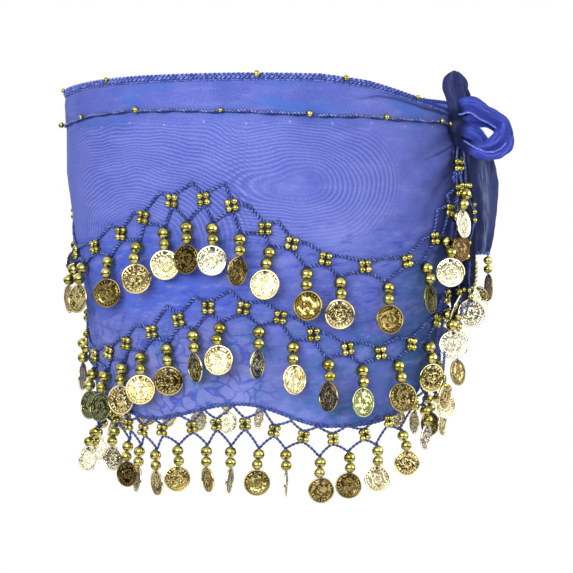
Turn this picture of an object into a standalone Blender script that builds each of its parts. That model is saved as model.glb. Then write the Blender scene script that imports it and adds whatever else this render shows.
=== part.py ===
"""Belly dance hip scarf: one chiffon cloth tied at one hip, with three beaded nets of coins.

Sizes are in millimetres and angles in degrees; make_object() turns millimetres into metres.
The cloth is wrapped round a plain oval hip form, whose centre is the origin. A place on the
cloth is given by its turn, from the knot round by the front, and by its height.
"""

from math import cos, exp, hypot, pi, radians, sin, sqrt

import bmesh
import bpy
from mathutils import Vector

METRES = 0.001

# Hip form: half the width at each height, and the depth as a share of the width.
HIP_SECTIONS = (  # height, half width
    (14.0, 125.4),
    (-40.0, 125.0),
    (-70.0, 120.8),
    (-110.0, 115.0),
    (-150.0, 109.7),
    (-190.0, 105.0),
    (-230.0, 101.0),
)
DEPTH_SHARE = 0.72
KNOT_BEARING = 72.0
MM_PER_TURN = 1.85

# Cloth.
CLOTH_WALL = 1.4
PANEL_START = 0.5
PANEL_END = 352.0
PANEL_ROWS = 10
END_TURN = 28.0
END_STEP = 2.5
MIDDLE_STEP = 6.0
BAND_WALL = 1.0
BAND_ROWS = 2
SEAM_GAP = 0.35

BAND_LINES = (  # turn, top edge height, seam height
    (0.0, -9.0, -17.0),
    (9.0, -5.0, -13.0),
    (15.0, -3.3, -11.5),
    (29.0, 1.7, -12.0),
    (43.0, 8.0, -11.0),
    (57.0, 11.2, -11.0),
    (76.0, 11.5, -9.0),
    (108.0, 11.5, -7.0),
    (124.0, 11.0, -7.5),
    (149.0, 9.3, -11.0),
    (190.0, 12.0, -7.0),
    (240.0, 17.5, -2.0),
    (290.0, 15.0, -5.0),
    (322.0, 6.5, -11.0),
    (342.0, -2.0, -12.0),
    (360.0, -9.0, -17.0),
)

# The two ends of the cloth meet behind the knot and part below it.
END_LINES = (  # height, turn where the cloth starts, turn where it ends
    (14.0, 5.6, 364.4),
    (-18.0, 5.2, 364.0),
    (-34.0, 2.6, 360.5),
    (-60.0, 1.0, 356.0),
    (-100.0, 0.4, 353.0),
    (-200.0, 0.0, 351.0),
)
END_PULL = 10.0

# Waves of the hem and of the three rows: each crest or trough, by turn and height.
HEM_WAVE = (
    (0.0, -150.0),
    (50.0, -194.0),
    (80.0, -180.5),
    (112.0, -190.0),
    (146.0, -177.0),
    (165.0, -181.0),
    (204.0, -155.0),
    (238.0, -163.0),
    (272.0, -151.0),
    (318.0, -161.0),
    (356.0, -150.0),
)
UPPER_WAVE = (
    (0.0, -38.0),
    (42.0, -99.5),
    (91.0, -58.5),
    (138.0, -89.5),
    (186.0, -58.0),
    (232.0, -69.0),
    (278.0, -52.0),
    (318.0, -64.0),
    (356.0, -38.0),
)
MIDDLE_WAVE = (
    (0.0, -116.0),
    (38.0, -150.5),
    (84.0, -123.0),
    (136.0, -153.0),
    (186.0, -120.0),
    (232.0, -118.0),
    (274.0, -104.0),
    (318.0, -114.0),
    (356.0, -116.0),
)
LOWER_WAVE = (
    (0.0, -165.0),
    (50.0, -201.0),
    (82.0, -192.5),
    (112.0, -198.0),
    (146.0, -186.0),
    (165.0, -190.5),
    (204.0, -165.0),
    (238.0, -173.0),
    (272.0, -161.0),
    (318.0, -171.0),
    (356.0, -165.0),
)

# Turn from one flower of a row to the next, at some turns. Crests bunch, troughs stretch.
UPPER_PITCH = (
    (1.8, 5.4),
    (7.0, 7.6),
    (27.0, 15.0),
    (42.0, 12.5),
    (65.0, 7.5),
    (89.0, 9.5),
    (108.0, 9.6),
    (131.0, 18.0),
    (151.0, 13.0),
    (186.0, 9.5),
    (232.0, 13.0),
    (278.0, 9.5),
    (318.0, 13.5),
    (350.0, 8.5),
)
MIDDLE_PITCH = (
    (5.0, 15.0),
    (20.0, 13.3),
    (46.0, 11.3),
    (58.0, 9.9),
    (90.0, 9.7),
    (119.0, 11.3),
    (131.0, 14.0),
    (150.0, 13.5),
    (186.0, 10.0),
    (228.0, 13.0),
    (274.0, 10.0),
    (318.0, 13.5),
    (350.0, 12.0),
)
LOWER_PITCH = (
    (1.0, 13.0),
    (14.0, 13.8),
    (28.0, 10.2),
    (42.0, 11.0),
    (60.0, 9.6),
    (90.0, 9.2),
    (120.0, 8.6),
    (146.0, 10.0),
    (250.0, 10.5),
    (300.0, 10.5),
    (350.0, 12.0),
)

# Turn of each coin about its string, from the knot on, taken in order and then again.
UPPER_YAWS = (38, 72, -22, 14, -16, 12, 50, 10, 32, 14, 24, 18, -40)
MIDDLE_YAWS = (24, -34, 26, 48, 40, 52, 60, 22, 58, 30, 24, -38, 34)
LOWER_YAWS = (74, 22, -16, 20, -20, 82, 20, 76, 62, -20, 70, 76, 36)

# Creases: soft ridges (+) and troughs (-) from one place on the cloth to another.
CREASES = (  # turn, height, turn, height, width, rise
    (3.0, -16.0, 34.0, -44.0, 5.0, -2.2),
    (3.0, -20.0, 28.0, -58.0, 5.0, 2.2),
    (2.0, -24.0, 20.0, -72.0, 4.5, -2.2),
    (0.0, -28.0, 8.0, -130.0, 4.5, 1.8),
    (0.0, -10.0, 48.0, 4.0, 6.0, -1.0),
    (362.0, -16.0, 326.0, -44.0, 5.0, -2.2),
    (361.0, -20.0, 338.0, -50.0, 4.5, 1.8),
    (359.0, -24.0, 350.0, -48.0, 5.0, -1.6),
    (352.0, -10.0, 312.0, 4.0, 6.0, -1.0),
    (60.0, -120.0, 52.0, -188.0, 9.0, 1.4),
    (88.0, -150.0, 96.0, -186.0, 8.0, -1.3),
    (120.0, -120.0, 112.0, -186.0, 9.0, 1.5),
    (160.0, -110.0, 168.0, -176.0, 10.0, -1.5),
    (205.0, -84.0, 198.0, -158.0, 10.0, 1.5),
    (250.0, -90.0, 256.0, -158.0, 9.0, -1.4),
    (300.0, -90.0, 292.0, -156.0, 9.0, 1.4),
)

# Nets.
NET_OUT = 0.8
NET_WALL = 1.3
CHAIN_WIDTH = 1.5
FLOWER_HALF = 2.9
FLOWER_RISE = 1.7
UPPER_CHAIN_HALF = 9.8
LOWER_CHAIN_HALF = 13.4
FLATTEST_PEAK = 0.8
SHALLOWEST_V = 3.2
ROOT_HALF = 0.8
HEM_LAP = 2.0
ROW_END = 351.0

# Pendants: sections down the string. Width is in the coin's plane, depth across it.
PENDANT_SECTIONS = (  # drop, half width, half depth, share of the coin's turn
    (3.7, 2.7, 2.7, 0.25),
    (7.2, 1.1, 1.1, 0.5),
    (10.7, 2.7, 2.7, 0.75),
    (14.9, 3.4, 0.45, 1.0),
    (19.7, 8.5, 0.45, 1.0),
    (26.7, 8.5, 0.45, 1.0),
    (31.5, 3.4, 0.45, 1.0),
)
SWING_SECTIONS = 3
COIN_RADIUS = 8.9
BEAD_RADIUS = 3.0
STAGGER = 2.2
UPPER_CLEAR = 0.4
MIDDLE_CLEAR = 2.4
LOWER_CLEAR = 0.4
LOWER_SCALE = 0.92

# Chains on the waistband.
EDGING_RADIUS = 1.1
CHAIN_START = 9.0
CHAIN_END = 357.5
CHAIN_STEP = 6.0

# Knot, loop, ear and tail. The knot lies on the cloth; the others are sections down a path.
KNOT_TURN = 5.0
KNOT_HEIGHT = -12.5
KNOT_OUT = 8.6
KNOT_HALF_WIDTH = 9.5
KNOT_HALF_DEPTH = 6.4
KNOT_HALF_HEIGHT = 13.5
KNOT_RINGS = 9
KNOT_SIDES = 14
KNOT_WRAPS = 3
KNOT_GROOVE = 0.10
LOOP_SECTIONS = (  # x, y, z, half width, half thickness, twist
    (128.6, -34.4, -4.2, 4.6, 4.0, 0.0),
    (134.5, -33.0, -2.9, 5.3, 4.2, 12.0),
    (140.5, -32.0, -5.0, 5.4, 4.0, 24.0),
    (146.3, -31.5, -10.6, 5.2, 3.8, 36.0),
    (148.2, -31.5, -19.0, 4.6, 3.8, 48.0),
    (144.6, -32.0, -26.6, 5.4, 3.8, 50.0),
    (137.0, -33.0, -30.0, 6.0, 3.8, 30.0),
    (130.5, -34.5, -27.5, 5.0, 3.6, 12.0),
    (126.4, -36.6, -24.4, 4.2, 3.4, 0.0),
)
EAR_SECTIONS = (
    (120.2, -41.2, 0.8, 5.4, 3.2, 0.0),
    (116.8, -42.0, 8.5, 7.0, 3.0, 6.0),
    (115.0, -42.3, 14.0, 7.0, 2.8, 8.0),
    (114.4, -42.5, 19.3, 4.6, 2.2, 12.0),
)
TAIL_SECTIONS = (
    (127.2, -30.0, -19.4, 3.4, 3.2, 0.0),
    (132.0, -24.0, -30.0, 7.6, 3.8, 4.0),
    (135.2, -22.0, -39.0, 9.2, 4.4, 6.0),
    (136.4, -20.5, -50.0, 9.6, 4.6, 8.0),
    (136.6, -20.0, -63.0, 8.2, 4.2, 6.0),
    (136.2, -20.0, -77.0, 7.0, 3.6, 2.0),
    (135.6, -20.0, -90.0, 5.3, 3.0, 0.0),
)
STRIP_SIDES = 10

# Net end along the foot of the tail, with a bead string and a coin pendant.
TRIM_TOP = Vector((135.6, -20.0, -90.55))
TRIM_HALF_LENGTH = 5.3
TRIM_HALF_DEPTH = 1.5
TRIM_HEIGHT = 1.6
TRIM_ROOT = 2.0
TRIM_STRING = (  # drop, half width, half depth, share of the turn
    (2.0, 1.7, 1.7, 0.0),
    (4.6, 0.8, 0.8, 0.0),
    (7.4, 1.7, 1.7, 0.0),
    (10.4, 0.8, 0.8, 0.0),
    (13.2, 1.7, 1.7, 0.0),
    (15.4, 0.7, 0.7, 0.0),
)
TRIM_COIN_YAW = 76.0
TRIM_SCALE = 0.85

COLOURS = {  # name: red, green, blue, metallic, roughness
    "chiffon": (0.105, 0.135, 0.62, 0.0, 0.75),
    "tied_cloth": (0.06, 0.07, 0.48, 0.0, 0.75),
    "crochet": (0.03, 0.045, 0.30, 0.0, 0.8),
    "gold_trim": (0.62, 0.47, 0.14, 1.0, 0.3),
}


def clear_scene():
    for obj in list(bpy.data.objects):
        bpy.data.objects.remove(obj, do_unlink=True)


def material(name):
    """A plain Principled material from COLOURS, made once."""
    if name in bpy.data.materials:
        return bpy.data.materials[name]
    red, green, blue, metallic, roughness = COLOURS[name]
    made = bpy.data.materials.new(name)
    made.use_nodes = True
    shader = made.node_tree.nodes["Principled BSDF"]
    shader.inputs["Base Color"].default_value = (red, green, blue, 1.0)
    shader.inputs["Metallic"].default_value = metallic
    shader.inputs["Roughness"].default_value = roughness
    return made


def make_object(name, points, faces, material_name):
    """A closed mesh object from points in millimetres."""
    mesh = bpy.data.meshes.new(name)
    mesh.from_pydata([Vector(point) * METRES for point in points], [], faces)
    shape = bmesh.new()
    shape.from_mesh(mesh)
    bmesh.ops.recalc_face_normals(shape, faces=shape.faces)
    shape.to_mesh(mesh)
    shape.free()
    mesh.materials.append(material(material_name))
    obj = bpy.data.objects.new(name, mesh)
    bpy.context.scene.collection.objects.link(obj)
    return obj


def interpolate(rows, at, column=1):
    """A column of a table whose first column rises or falls, read between its rows."""
    rows = rows if rows[0][0] < rows[-1][0] else rows[::-1]
    if at <= rows[0][0]:
        return rows[0][column]
    for low, high in zip(rows, rows[1:]):
        if at <= high[0]:
            share = (at - low[0]) / (high[0] - low[0])
            return low[column] + share * (high[column] - low[column])
    return rows[-1][column]


def wave_height(wave, turn, sweep):
    """Height of a wave: cosine spans, and a first and last span that sweep up to the knot."""
    turn = min(max(turn, wave[0][0]), wave[-1][0])
    last = len(wave) - 2
    for index, (low, high) in enumerate(zip(wave, wave[1:])):
        if turn > high[0]:
            continue
        share = (turn - low[0]) / (high[0] - low[0])
        if index == 0:
            share = 1.0 - (1.0 - share) ** sweep
        elif index == last:
            share = share**sweep
        else:
            share = 0.5 - 0.5 * cos(pi * share)
        return low[1] + share * (high[1] - low[1])
    return wave[-1][1]


def crease_rise(turn, height):
    """How far the creases lift the cloth at a place."""
    rise = 0.0
    for turn0, height0, turn1, height1, width, peak in CREASES:
        run = (turn1 - turn0) * MM_PER_TURN
        fall = height1 - height0
        along = (turn - turn0) * MM_PER_TURN
        down = height - height0
        share = (along * run + down * fall) / (run * run + fall * fall)
        share = min(max(share, 0.0), 1.0)
        distance = hypot(along - share * run, down - share * fall)
        rise += peak * (1.0 - share * share) * exp(-((distance / width) ** 2))
    return rise


def place(turn, height, out=0.0):
    """The point that lies `out` outside the cloth's outer face."""
    bearing = radians(KNOT_BEARING - turn)
    half = interpolate(HIP_SECTIONS, height)
    lift = crease_rise(turn, height) + out
    return Vector((
        (half + lift) * sin(bearing),
        -(half * DEPTH_SHARE + lift) * cos(bearing),
        height,
    ))


def outward(turn, height):
    """The level direction straight out of the hip form."""
    ahead = place(turn + 0.5, height) - place(turn - 0.5, height)
    return Vector((-ahead.y, ahead.x, 0.0)).normalized()


def hem_height(turn):
    return wave_height(HEM_WAVE, turn, 3.0)


def drawn_turn(turn, height):
    """The turn of a column at a height, drawn towards the knot near either end."""
    at_start = interpolate(END_LINES, height, 1) - PANEL_START
    at_end = interpolate(END_LINES, height, 2) - PANEL_END
    from_start = (turn - PANEL_START) / END_PULL
    to_end = (PANEL_END - turn) / END_PULL
    return turn + at_start * exp(-from_start) + at_end * exp(-to_end)


def panel_turns():
    """Turns of the panel's columns, closer together beside the knot."""
    turns = []
    turn = PANEL_START
    while turn < PANEL_END - 0.5 * END_STEP:
        turns.append(turn)
        near_end = turn < END_TURN or turn > PANEL_END - END_TURN
        turn += END_STEP if near_end else MIDDLE_STEP
    turns.append(PANEL_END)
    return turns


def band_levels(turn):
    """Heights of the waistband's rows at a turn, from the top edge down to the seam."""
    drawn = drawn_turn(turn, KNOT_HEIGHT)
    high = interpolate(BAND_LINES, drawn, 1)
    low = interpolate(BAND_LINES, drawn, 2)
    return [high + (low - high) * row / BAND_ROWS for row in range(BAND_ROWS + 1)]


def panel_levels(turn):
    """Heights of the panel's rows: those of the waistband, then on down to the hem."""
    levels = band_levels(turn)
    seam = levels[-1]
    drop = hem_height(turn) - seam
    return levels + [seam + drop * row / PANEL_ROWS for row in range(1, PANEL_ROWS + 1)]


def wall(name, levels, out, thickness, material_name):
    """A wall round the hips, whose rows lie at the levels that each turn has."""
    turns = panel_turns()
    places = [(drawn_turn(turn, height), height) for turn in turns for height in levels(turn)]
    outer = [place(turn, height, out) for turn, height in places]
    inner = [place(turn, height, out - thickness) for turn, height in places]
    shift = len(outer)
    step = len(levels(turns[0]))
    rows = step - 1
    faces = []
    for start in range(0, shift - step, step):
        for a in range(start, start + rows):
            faces.append((a, a + 1, a + 1 + step, a + step))
            faces.append((a + shift, a + step + shift, a + 1 + step + shift, a + 1 + shift))
        for a in (start, start + rows):
            faces.append((a, a + step, a + step + shift, a + shift))
    for start in (0, shift - step):
        for a in range(start, start + rows):
            faces.append((a, a + 1, a + 1 + shift, a + shift))
    return make_object(name, outer + inner, faces, material_name)


def tube(name, rings, material_name):
    """A closed solid through rings of equally many points, with flat ends."""
    count = len(rings[0])
    points = [point for ring in rings for point in ring]
    faces = []
    for ring in range(len(rings) - 1):
        for side in range(count):
            a = ring * count + side
            b = ring * count + (side + 1) % count
            faces.append((a, b, b + count, a + count))
    faces.append(tuple(range(count)))
    faces.append(tuple(range(len(points) - count, len(points))))
    return make_object(name, points, faces, material_name)


def chain(name, column, rise, out):
    """A four-sided cord along one of the waistband's lines."""
    count = round((CHAIN_END - CHAIN_START) / CHAIN_STEP)
    rings = []
    for index in range(count + 1):
        turn = CHAIN_START + (CHAIN_END - CHAIN_START) * index / count
        level = interpolate(BAND_LINES, turn, column) + rise
        rings.append([
            place(turn, level + EDGING_RADIUS, out),
            place(turn, level, out + EDGING_RADIUS),
            place(turn, level - EDGING_RADIUS, out),
            place(turn, level, out - EDGING_RADIUS),
        ])
    return tube(name, rings, "crochet")


def flower_turns(pitches):
    """Turns of a row's flowers, stepping by the pitch read at each."""
    turns = [pitches[0][0]]
    while turns[-1] + interpolate(pitches, turns[-1]) < ROW_END:
        turns.append(turns[-1] + interpolate(pitches, turns[-1]))
    return turns


class Fringe:
    """Points and faces of one solid that pendants grow from."""

    def __init__(self):
        self.points = []
        self.faces = []

    def hang(self, foot, away, root, yaw, swing, sections, scale):
        """Beads, and a coin if it has one, on a plumb string grown from a face of four corners."""
        across = Vector((-away.y, away.x, 0.0))
        ring = root
        for number, (drop, half_width, half_depth, share) in enumerate(sections, 1):
            centre = foot + away * (swing * min(number / SWING_SECTIONS, 1.0))
            centre = centre - Vector((0.0, 0.0, drop * scale))
            turn = yaw * share
            wide = (across * cos(turn) + away * sin(turn)) * half_width * scale
            deep = (away * cos(turn) - across * sin(turn)) * half_depth
            start = len(self.points)
            self.points += [centre + wide + deep, centre - wide + deep]
            self.points += [centre - wide - deep, centre + wide - deep]
            new = tuple(range(start, start + 4))
            for side in range(4):
                ahead = (side + 1) % 4
                self.faces.append((ring[side], ring[ahead], new[ahead], new[side]))
            ring = new
        self.faces.append(ring[::-1])


class Net(Fringe):
    """One beaded net: two chains with a hole to each cell, flowers, and a pendant to each V."""

    def __init__(self, wave, sweep, pitches, yaws, clear, scale=1.0, top=None):
        super().__init__()
        self.centre = lambda turn: wave_height(wave, turn, sweep)
        self.turns = flower_turns(pitches)
        self.yaws = yaws
        self.clear = clear
        self.scale = scale
        self.top = top

    def pair(self, turn, height):
        """Indices of a front point and of the back point behind it."""
        self.points.append(place(turn, height, NET_OUT + NET_WALL))
        self.points.append(place(turn, height, NET_OUT))
        return len(self.points) - 2, len(self.points) - 1

    def flat(self, *pairs):
        """The front and back faces over the same corners."""
        self.faces.append(tuple(front for front, _ in pairs))
        self.faces.append(tuple(back for _, back in reversed(pairs)))

    def edge(self, first, second):
        """The narrow face across the net's thickness, between two corners."""
        self.faces.append((first[0], first[1], second[1], second[0]))

    def flower_corners(self, turn):
        """Six corners round a flower, from its top, clockwise as worn."""
        middle = self.centre(turn)
        half = FLOWER_HALF * self.scale
        side = half / MM_PER_TURN
        low = half + CHAIN_WIDTH
        return (
            self.pair(turn, middle + low),
            self.pair(turn - side, middle + half * 0.8),
            self.pair(turn - side, middle - half * 0.8),
            self.pair(turn, middle - low),
            self.pair(turn + side, middle - half * 0.8),
            self.pair(turn + side, middle + half * 0.8),
        )

    def flower(self, turn, corners):
        """A raised front over the corners, and a flat back."""
        self.points.append(place(turn, self.centre(turn), NET_OUT + NET_WALL + FLOWER_RISE))
        tip = len(self.points) - 1
        for first, second in zip(corners, corners[1:] + corners[:1]):
            self.faces.append((first[0], second[0], tip))
        self.faces.append(tuple(back for _, back in reversed(corners)))

    def cell(self, turn, next_turn, corners, next_corners, index):
        """The chains between two flowers, with the hole between them, and its pendant."""
        middle = (turn + next_turn) / 2
        level = (self.centre(turn) + self.centre(next_turn)) / 2
        half_pitch = (next_turn - turn) / 2 * MM_PER_TURN
        reach = FLOWER_HALF * self.scale + CHAIN_WIDTH / 2
        peak = sqrt(max(UPPER_CHAIN_HALF**2 - half_pitch**2, 0.0)) + FLATTEST_PEAK
        dip = sqrt(max((LOWER_CHAIN_HALF * self.scale) ** 2 - half_pitch**2, 0.0))
        high = level + reach + peak
        if self.top:
            high = self.top(middle) + HEM_LAP
        low = level - reach - max(dip, SHALLOWEST_V)
        peak_top = self.pair(middle, high + CHAIN_WIDTH / 2)
        peak_foot = self.pair(middle, high - CHAIN_WIDTH / 2)
        v_top = self.pair(middle, low + CHAIN_WIDTH)
        left = self.pair(middle - ROOT_HALF / MM_PER_TURN, low)
        right = self.pair(middle + ROOT_HALF / MM_PER_TURN, low)
        top, _, _, foot, out_low, out_high = corners
        next_top, in_high, in_low, next_foot, _, _ = next_corners
        self.flat(top, out_high, peak_foot, peak_top)
        self.flat(peak_top, peak_foot, in_high, next_top)
        self.flat(out_low, foot, left, v_top)
        self.flat(v_top, left, right)
        self.flat(v_top, right, next_foot, in_low)
        for first, second in (
            (top, peak_top), (peak_top, next_top), (foot, left), (right, next_foot),
            (out_high, peak_foot), (peak_foot, in_high), (in_high, in_low),
            (in_low, v_top), (v_top, out_low), (out_low, out_high),
        ):
            self.edge(first, second)
        self.pendant(middle, low, (left[0], right[0], right[1], left[1]), index)

    def pendant(self, turn, height, root, index):
        """The cell's pendant, swung out so that its coin clears the net."""
        yaw = radians(self.yaws[index % len(self.yaws)])
        foot = place(turn, height, NET_OUT + NET_WALL)
        reach = max(BEAD_RADIUS, COIN_RADIUS * abs(sin(yaw)))
        swing = (reach + self.clear + STAGGER * (index % 2)) * self.scale
        self.hang(foot, outward(turn, height), root, yaw, swing, PENDANT_SECTIONS, self.scale)

    def build(self, name):
        corners = [self.flower_corners(turn) for turn in self.turns]
        for turn, six in zip(self.turns, corners):
            self.flower(turn, six)
        for index in range(len(self.turns) - 1):
            self.cell(self.turns[index], self.turns[index + 1], corners[index], corners[index + 1], index)
        for six, sides in ((corners[0], (0, 1, 2, 3)), (corners[-1], (3, 4, 5, 0))):
            for first, second in zip(sides, sides[1:]):
                self.edge(six[first], six[second])
        return make_object(name, self.points, self.faces, "gold_trim")


def knot():
    """An egg of wound cloth, grooved between its wraps, on the cloth at the knot's turn."""
    away = outward(KNOT_TURN, KNOT_HEIGHT)
    across = Vector((-away.y, away.x, 0.0))
    centre = place(KNOT_TURN, KNOT_HEIGHT) + away * KNOT_OUT
    rings = []
    for ring in range(KNOT_RINGS):
        polar = pi * (ring + 0.6) / (KNOT_RINGS + 0.2)
        row = []
        for side in range(KNOT_SIDES):
            azimuth = 2 * pi * side / KNOT_SIDES
            groove = KNOT_GROOVE * (1.0 + cos(2 * KNOT_WRAPS * polar + azimuth)) / 2
            radius = sin(polar) * (1.0 - groove)
            row.append(
                centre
                + across * (KNOT_HALF_WIDTH * radius * cos(azimuth))
                + away * (KNOT_HALF_DEPTH * radius * sin(azimuth))
                + Vector((0.0, 0.0, KNOT_HALF_HEIGHT * cos(polar)))
            )
        rings.append(row)
    return tube("knot", rings, "tied_cloth")


def strip(name, sections):
    """A folded strip of cloth: oval sections square to a path, each turned by its twist."""
    centres = [Vector(section[:3]) for section in sections]
    rings = []
    for index, (centre, section) in enumerate(zip(centres, sections)):
        before = centres[max(index - 1, 0)]
        after = centres[min(index + 1, len(centres) - 1)]
        along = (after - before).normalized()
        side = along.cross(Vector((0.0, 1.0, 0.0))).normalized()
        front = side.cross(along).normalized()
        half_width, half_thickness, twist = section[3:]
        row = []
        for step in range(STRIP_SIDES):
            angle = 2 * pi * step / STRIP_SIDES
            wide = half_width * cos(angle)
            deep = half_thickness * sin(angle)
            turned = radians(twist)
            row.append(
                centre
                + side * (wide * cos(turned) - deep * sin(turned))
                + front * (wide * sin(turned) + deep * cos(turned))
            )
        rings.append(row)
    return tube(name, rings, "tied_cloth")


def tail_trim():
    """A bar along the tail's foot, with a bead string at one end and a coin at the other."""
    fringe = Fringe()
    stops = (-TRIM_HALF_LENGTH, TRIM_ROOT - TRIM_HALF_LENGTH, TRIM_HALF_LENGTH - TRIM_ROOT, TRIM_HALF_LENGTH)
    corners = (
        (-TRIM_HALF_DEPTH, 0.0), (-TRIM_HALF_DEPTH, -TRIM_HEIGHT),
        (TRIM_HALF_DEPTH, -TRIM_HEIGHT), (TRIM_HALF_DEPTH, 0.0),
    )
    for along in stops:
        fringe.points += [TRIM_TOP + Vector((along, back, down)) for back, down in corners]
    for start in (0, 4, 8):
        fringe.faces += [(start, start + 1, start + 5, start + 4), (start + 3, start, start + 4, start + 7)]
        fringe.faces.append((start + 2, start + 3, start + 7, start + 6))
    fringe.faces += [(0, 3, 2, 1), (12, 13, 14, 15), (5, 6, 10, 9)]
    front = Vector((0.0, -1.0, 0.0))
    yaw = radians(TRIM_COIN_YAW)
    for start, sections, turn in ((0, TRIM_STRING, 0.0), (8, PENDANT_SECTIONS, yaw)):
        root = (start + 5, start + 1, start + 2, start + 6)
        foot = sum((fringe.points[corner] for corner in root), Vector()) / 4
        fringe.hang(foot, front, root, turn, 0.0, sections, TRIM_SCALE)
    return make_object("tail_trim", fringe.points, fringe.faces, "gold_trim")


def build_cloth():
    wall("panel", panel_levels, 0.0, CLOTH_WALL, "chiffon")
    wall("waistband", band_levels, SEAM_GAP + BAND_WALL, BAND_WALL, "chiffon")
    chain("top_edging", 1, SEAM_GAP + EDGING_RADIUS, 0.0)
    chain("band_chain", 2, EDGING_RADIUS, 2 * SEAM_GAP + BAND_WALL + EDGING_RADIUS)


def build_nets():
    upper = Net(UPPER_WAVE, 3.0, UPPER_PITCH, UPPER_YAWS, UPPER_CLEAR)
    middle = Net(MIDDLE_WAVE, 3.0, MIDDLE_PITCH, MIDDLE_YAWS, MIDDLE_CLEAR)
    lower = Net(LOWER_WAVE, 2.0, LOWER_PITCH, LOWER_YAWS, LOWER_CLEAR, LOWER_SCALE, hem_height)
    upper.build("coin_net_upper")
    middle.build("coin_net_middle")
    lower.build("coin_net_hem")


def build_ties():
    knot()
    strip("bow_loop", LOOP_SECTIONS)
    strip("tie_ear", EAR_SECTIONS)
    strip("tie_tail", TAIL_SECTIONS)
    tail_trim()


def main():
    clear_scene()
    build_cloth()
    build_nets()
    build_ties()


if __name__ == "__main__":
    main()
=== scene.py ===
"""A belly dance hip scarf: chiffon tied at one side, under nets of gold beads and coins.

Sizes in the tables are millimetres and angles degrees. A place on the cloth is given by its
turn, in steps of MM_PER_TURN from the knot round by the front, and by its height. Every piece
is made of grids worked out as whole arrays. Each point of a grid carries a mark, three numbers
that its material reads. In the finishes, step and bell take millimetres round the cloth or up
it, or values of the noise they work on, and the factor after them is a strength.
"""

import bpy
import numpy as np
from bpy.props import FloatProperty, FloatVectorProperty, IntProperty, PointerProperty
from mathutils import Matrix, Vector


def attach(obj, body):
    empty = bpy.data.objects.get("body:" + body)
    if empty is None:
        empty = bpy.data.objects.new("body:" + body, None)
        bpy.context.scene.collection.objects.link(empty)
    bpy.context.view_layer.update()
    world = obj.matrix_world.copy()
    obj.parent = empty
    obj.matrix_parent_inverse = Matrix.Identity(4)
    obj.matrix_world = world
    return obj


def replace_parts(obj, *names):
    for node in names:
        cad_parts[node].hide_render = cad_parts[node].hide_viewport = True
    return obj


bl_info = {
    "name": "Coin Hip Scarf",
    "version": (1, 0, 0),
    "blender": (4, 5, 0),
    "location": "View3D > Sidebar > Hip Scarf",
    "description": "Chiffon, crochet nets, beads and coins of a tied hip scarf",
    "category": "Object",
}

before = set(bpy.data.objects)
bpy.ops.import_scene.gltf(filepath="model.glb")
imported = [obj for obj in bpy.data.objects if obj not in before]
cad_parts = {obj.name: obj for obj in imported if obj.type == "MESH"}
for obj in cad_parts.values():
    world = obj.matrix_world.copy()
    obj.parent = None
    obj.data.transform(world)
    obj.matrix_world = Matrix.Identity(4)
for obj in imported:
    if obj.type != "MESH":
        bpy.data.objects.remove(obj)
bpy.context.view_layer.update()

METRES = 0.001
MM = 1000.0
TAU = 2.0 * np.pi
UP = np.array((0.0, 0.0, 1.0))

# Hip form: half the width at each height, and the depth as a share of the width.
HIP_SECTIONS = (  # height, half width
    (14.0, 125.4), (-40.0, 125.0), (-70.0, 120.8), (-110.0, 115.0),
    (-150.0, 109.7), (-190.0, 105.0), (-230.0, 101.0),
)
DEPTH_SHARE = 0.72
KNOT_BEARING = 72.0
MM_PER_TURN = 1.85
TURNS_ROUND = 356.0

SHADE_ROUND = 364.0  # the turn where the painted shade of the knot comes back, and how far it spreads
SHADE_SPREAD = 14.5

PANEL_START = 0.5
PANEL_END = 352.0
KNOT_HEIGHT = -12.5
END_PULL = 10.0
END_LINES = (  # height, turn where the cloth starts, turn where it ends
    (14.0, 5.6, 364.4), (-18.0, 5.2, 364.0), (-34.0, 2.6, 360.5),
    (-60.0, 1.0, 356.0), (-100.0, 0.4, 353.0), (-200.0, 0.0, 351.0),
)
BAND_LINES = (  # turn, top edge height, seam height
    (0.0, -9.0, -17.0), (9.0, -5.0, -13.0), (15.0, -3.3, -11.5), (29.0, 1.7, -12.0),
    (43.0, 8.0, -11.0), (57.0, 11.2, -11.0), (76.0, 11.5, -9.0), (108.0, 11.5, -7.0),
    (124.0, 11.0, -7.5), (149.0, 9.3, -11.0), (190.0, 12.0, -7.0), (240.0, 17.5, -2.0),
    (290.0, 15.0, -5.0), (322.0, 6.5, -11.0), (342.0, -2.0, -12.0), (360.0, -9.0, -17.0),
)
BAND_OUT = 0.45
BAND_ROWS = 16

# Waves of the hem and of the three rows: each crest or trough, by turn and height.
HEM_WAVE = (
    (0.0, -150.0), (50.0, -194.0), (80.0, -180.5), (112.0, -190.0), (146.0, -177.0),
    (165.0, -181.0), (204.0, -155.0), (238.0, -163.0), (272.0, -151.0), (318.0, -161.0),
    (356.0, -150.0),
)
UPPER_WAVE = (
    (0.0, -38.0), (42.0, -99.5), (91.0, -58.5), (138.0, -89.5), (186.0, -58.0),
    (232.0, -69.0), (278.0, -52.0), (318.0, -64.0), (356.0, -38.0),
)
MIDDLE_WAVE = (
    (0.0, -116.0), (38.0, -150.5), (84.0, -123.0), (136.0, -153.0), (186.0, -120.0),
    (232.0, -118.0), (274.0, -104.0), (318.0, -114.0), (356.0, -116.0),
)
LOWER_WAVE = (
    (0.0, -165.0), (50.0, -201.0), (82.0, -192.5), (112.0, -198.0), (146.0, -186.0),
    (165.0, -190.5), (204.0, -165.0), (238.0, -173.0), (272.0, -161.0), (318.0, -171.0),
    (356.0, -165.0),
)

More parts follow.
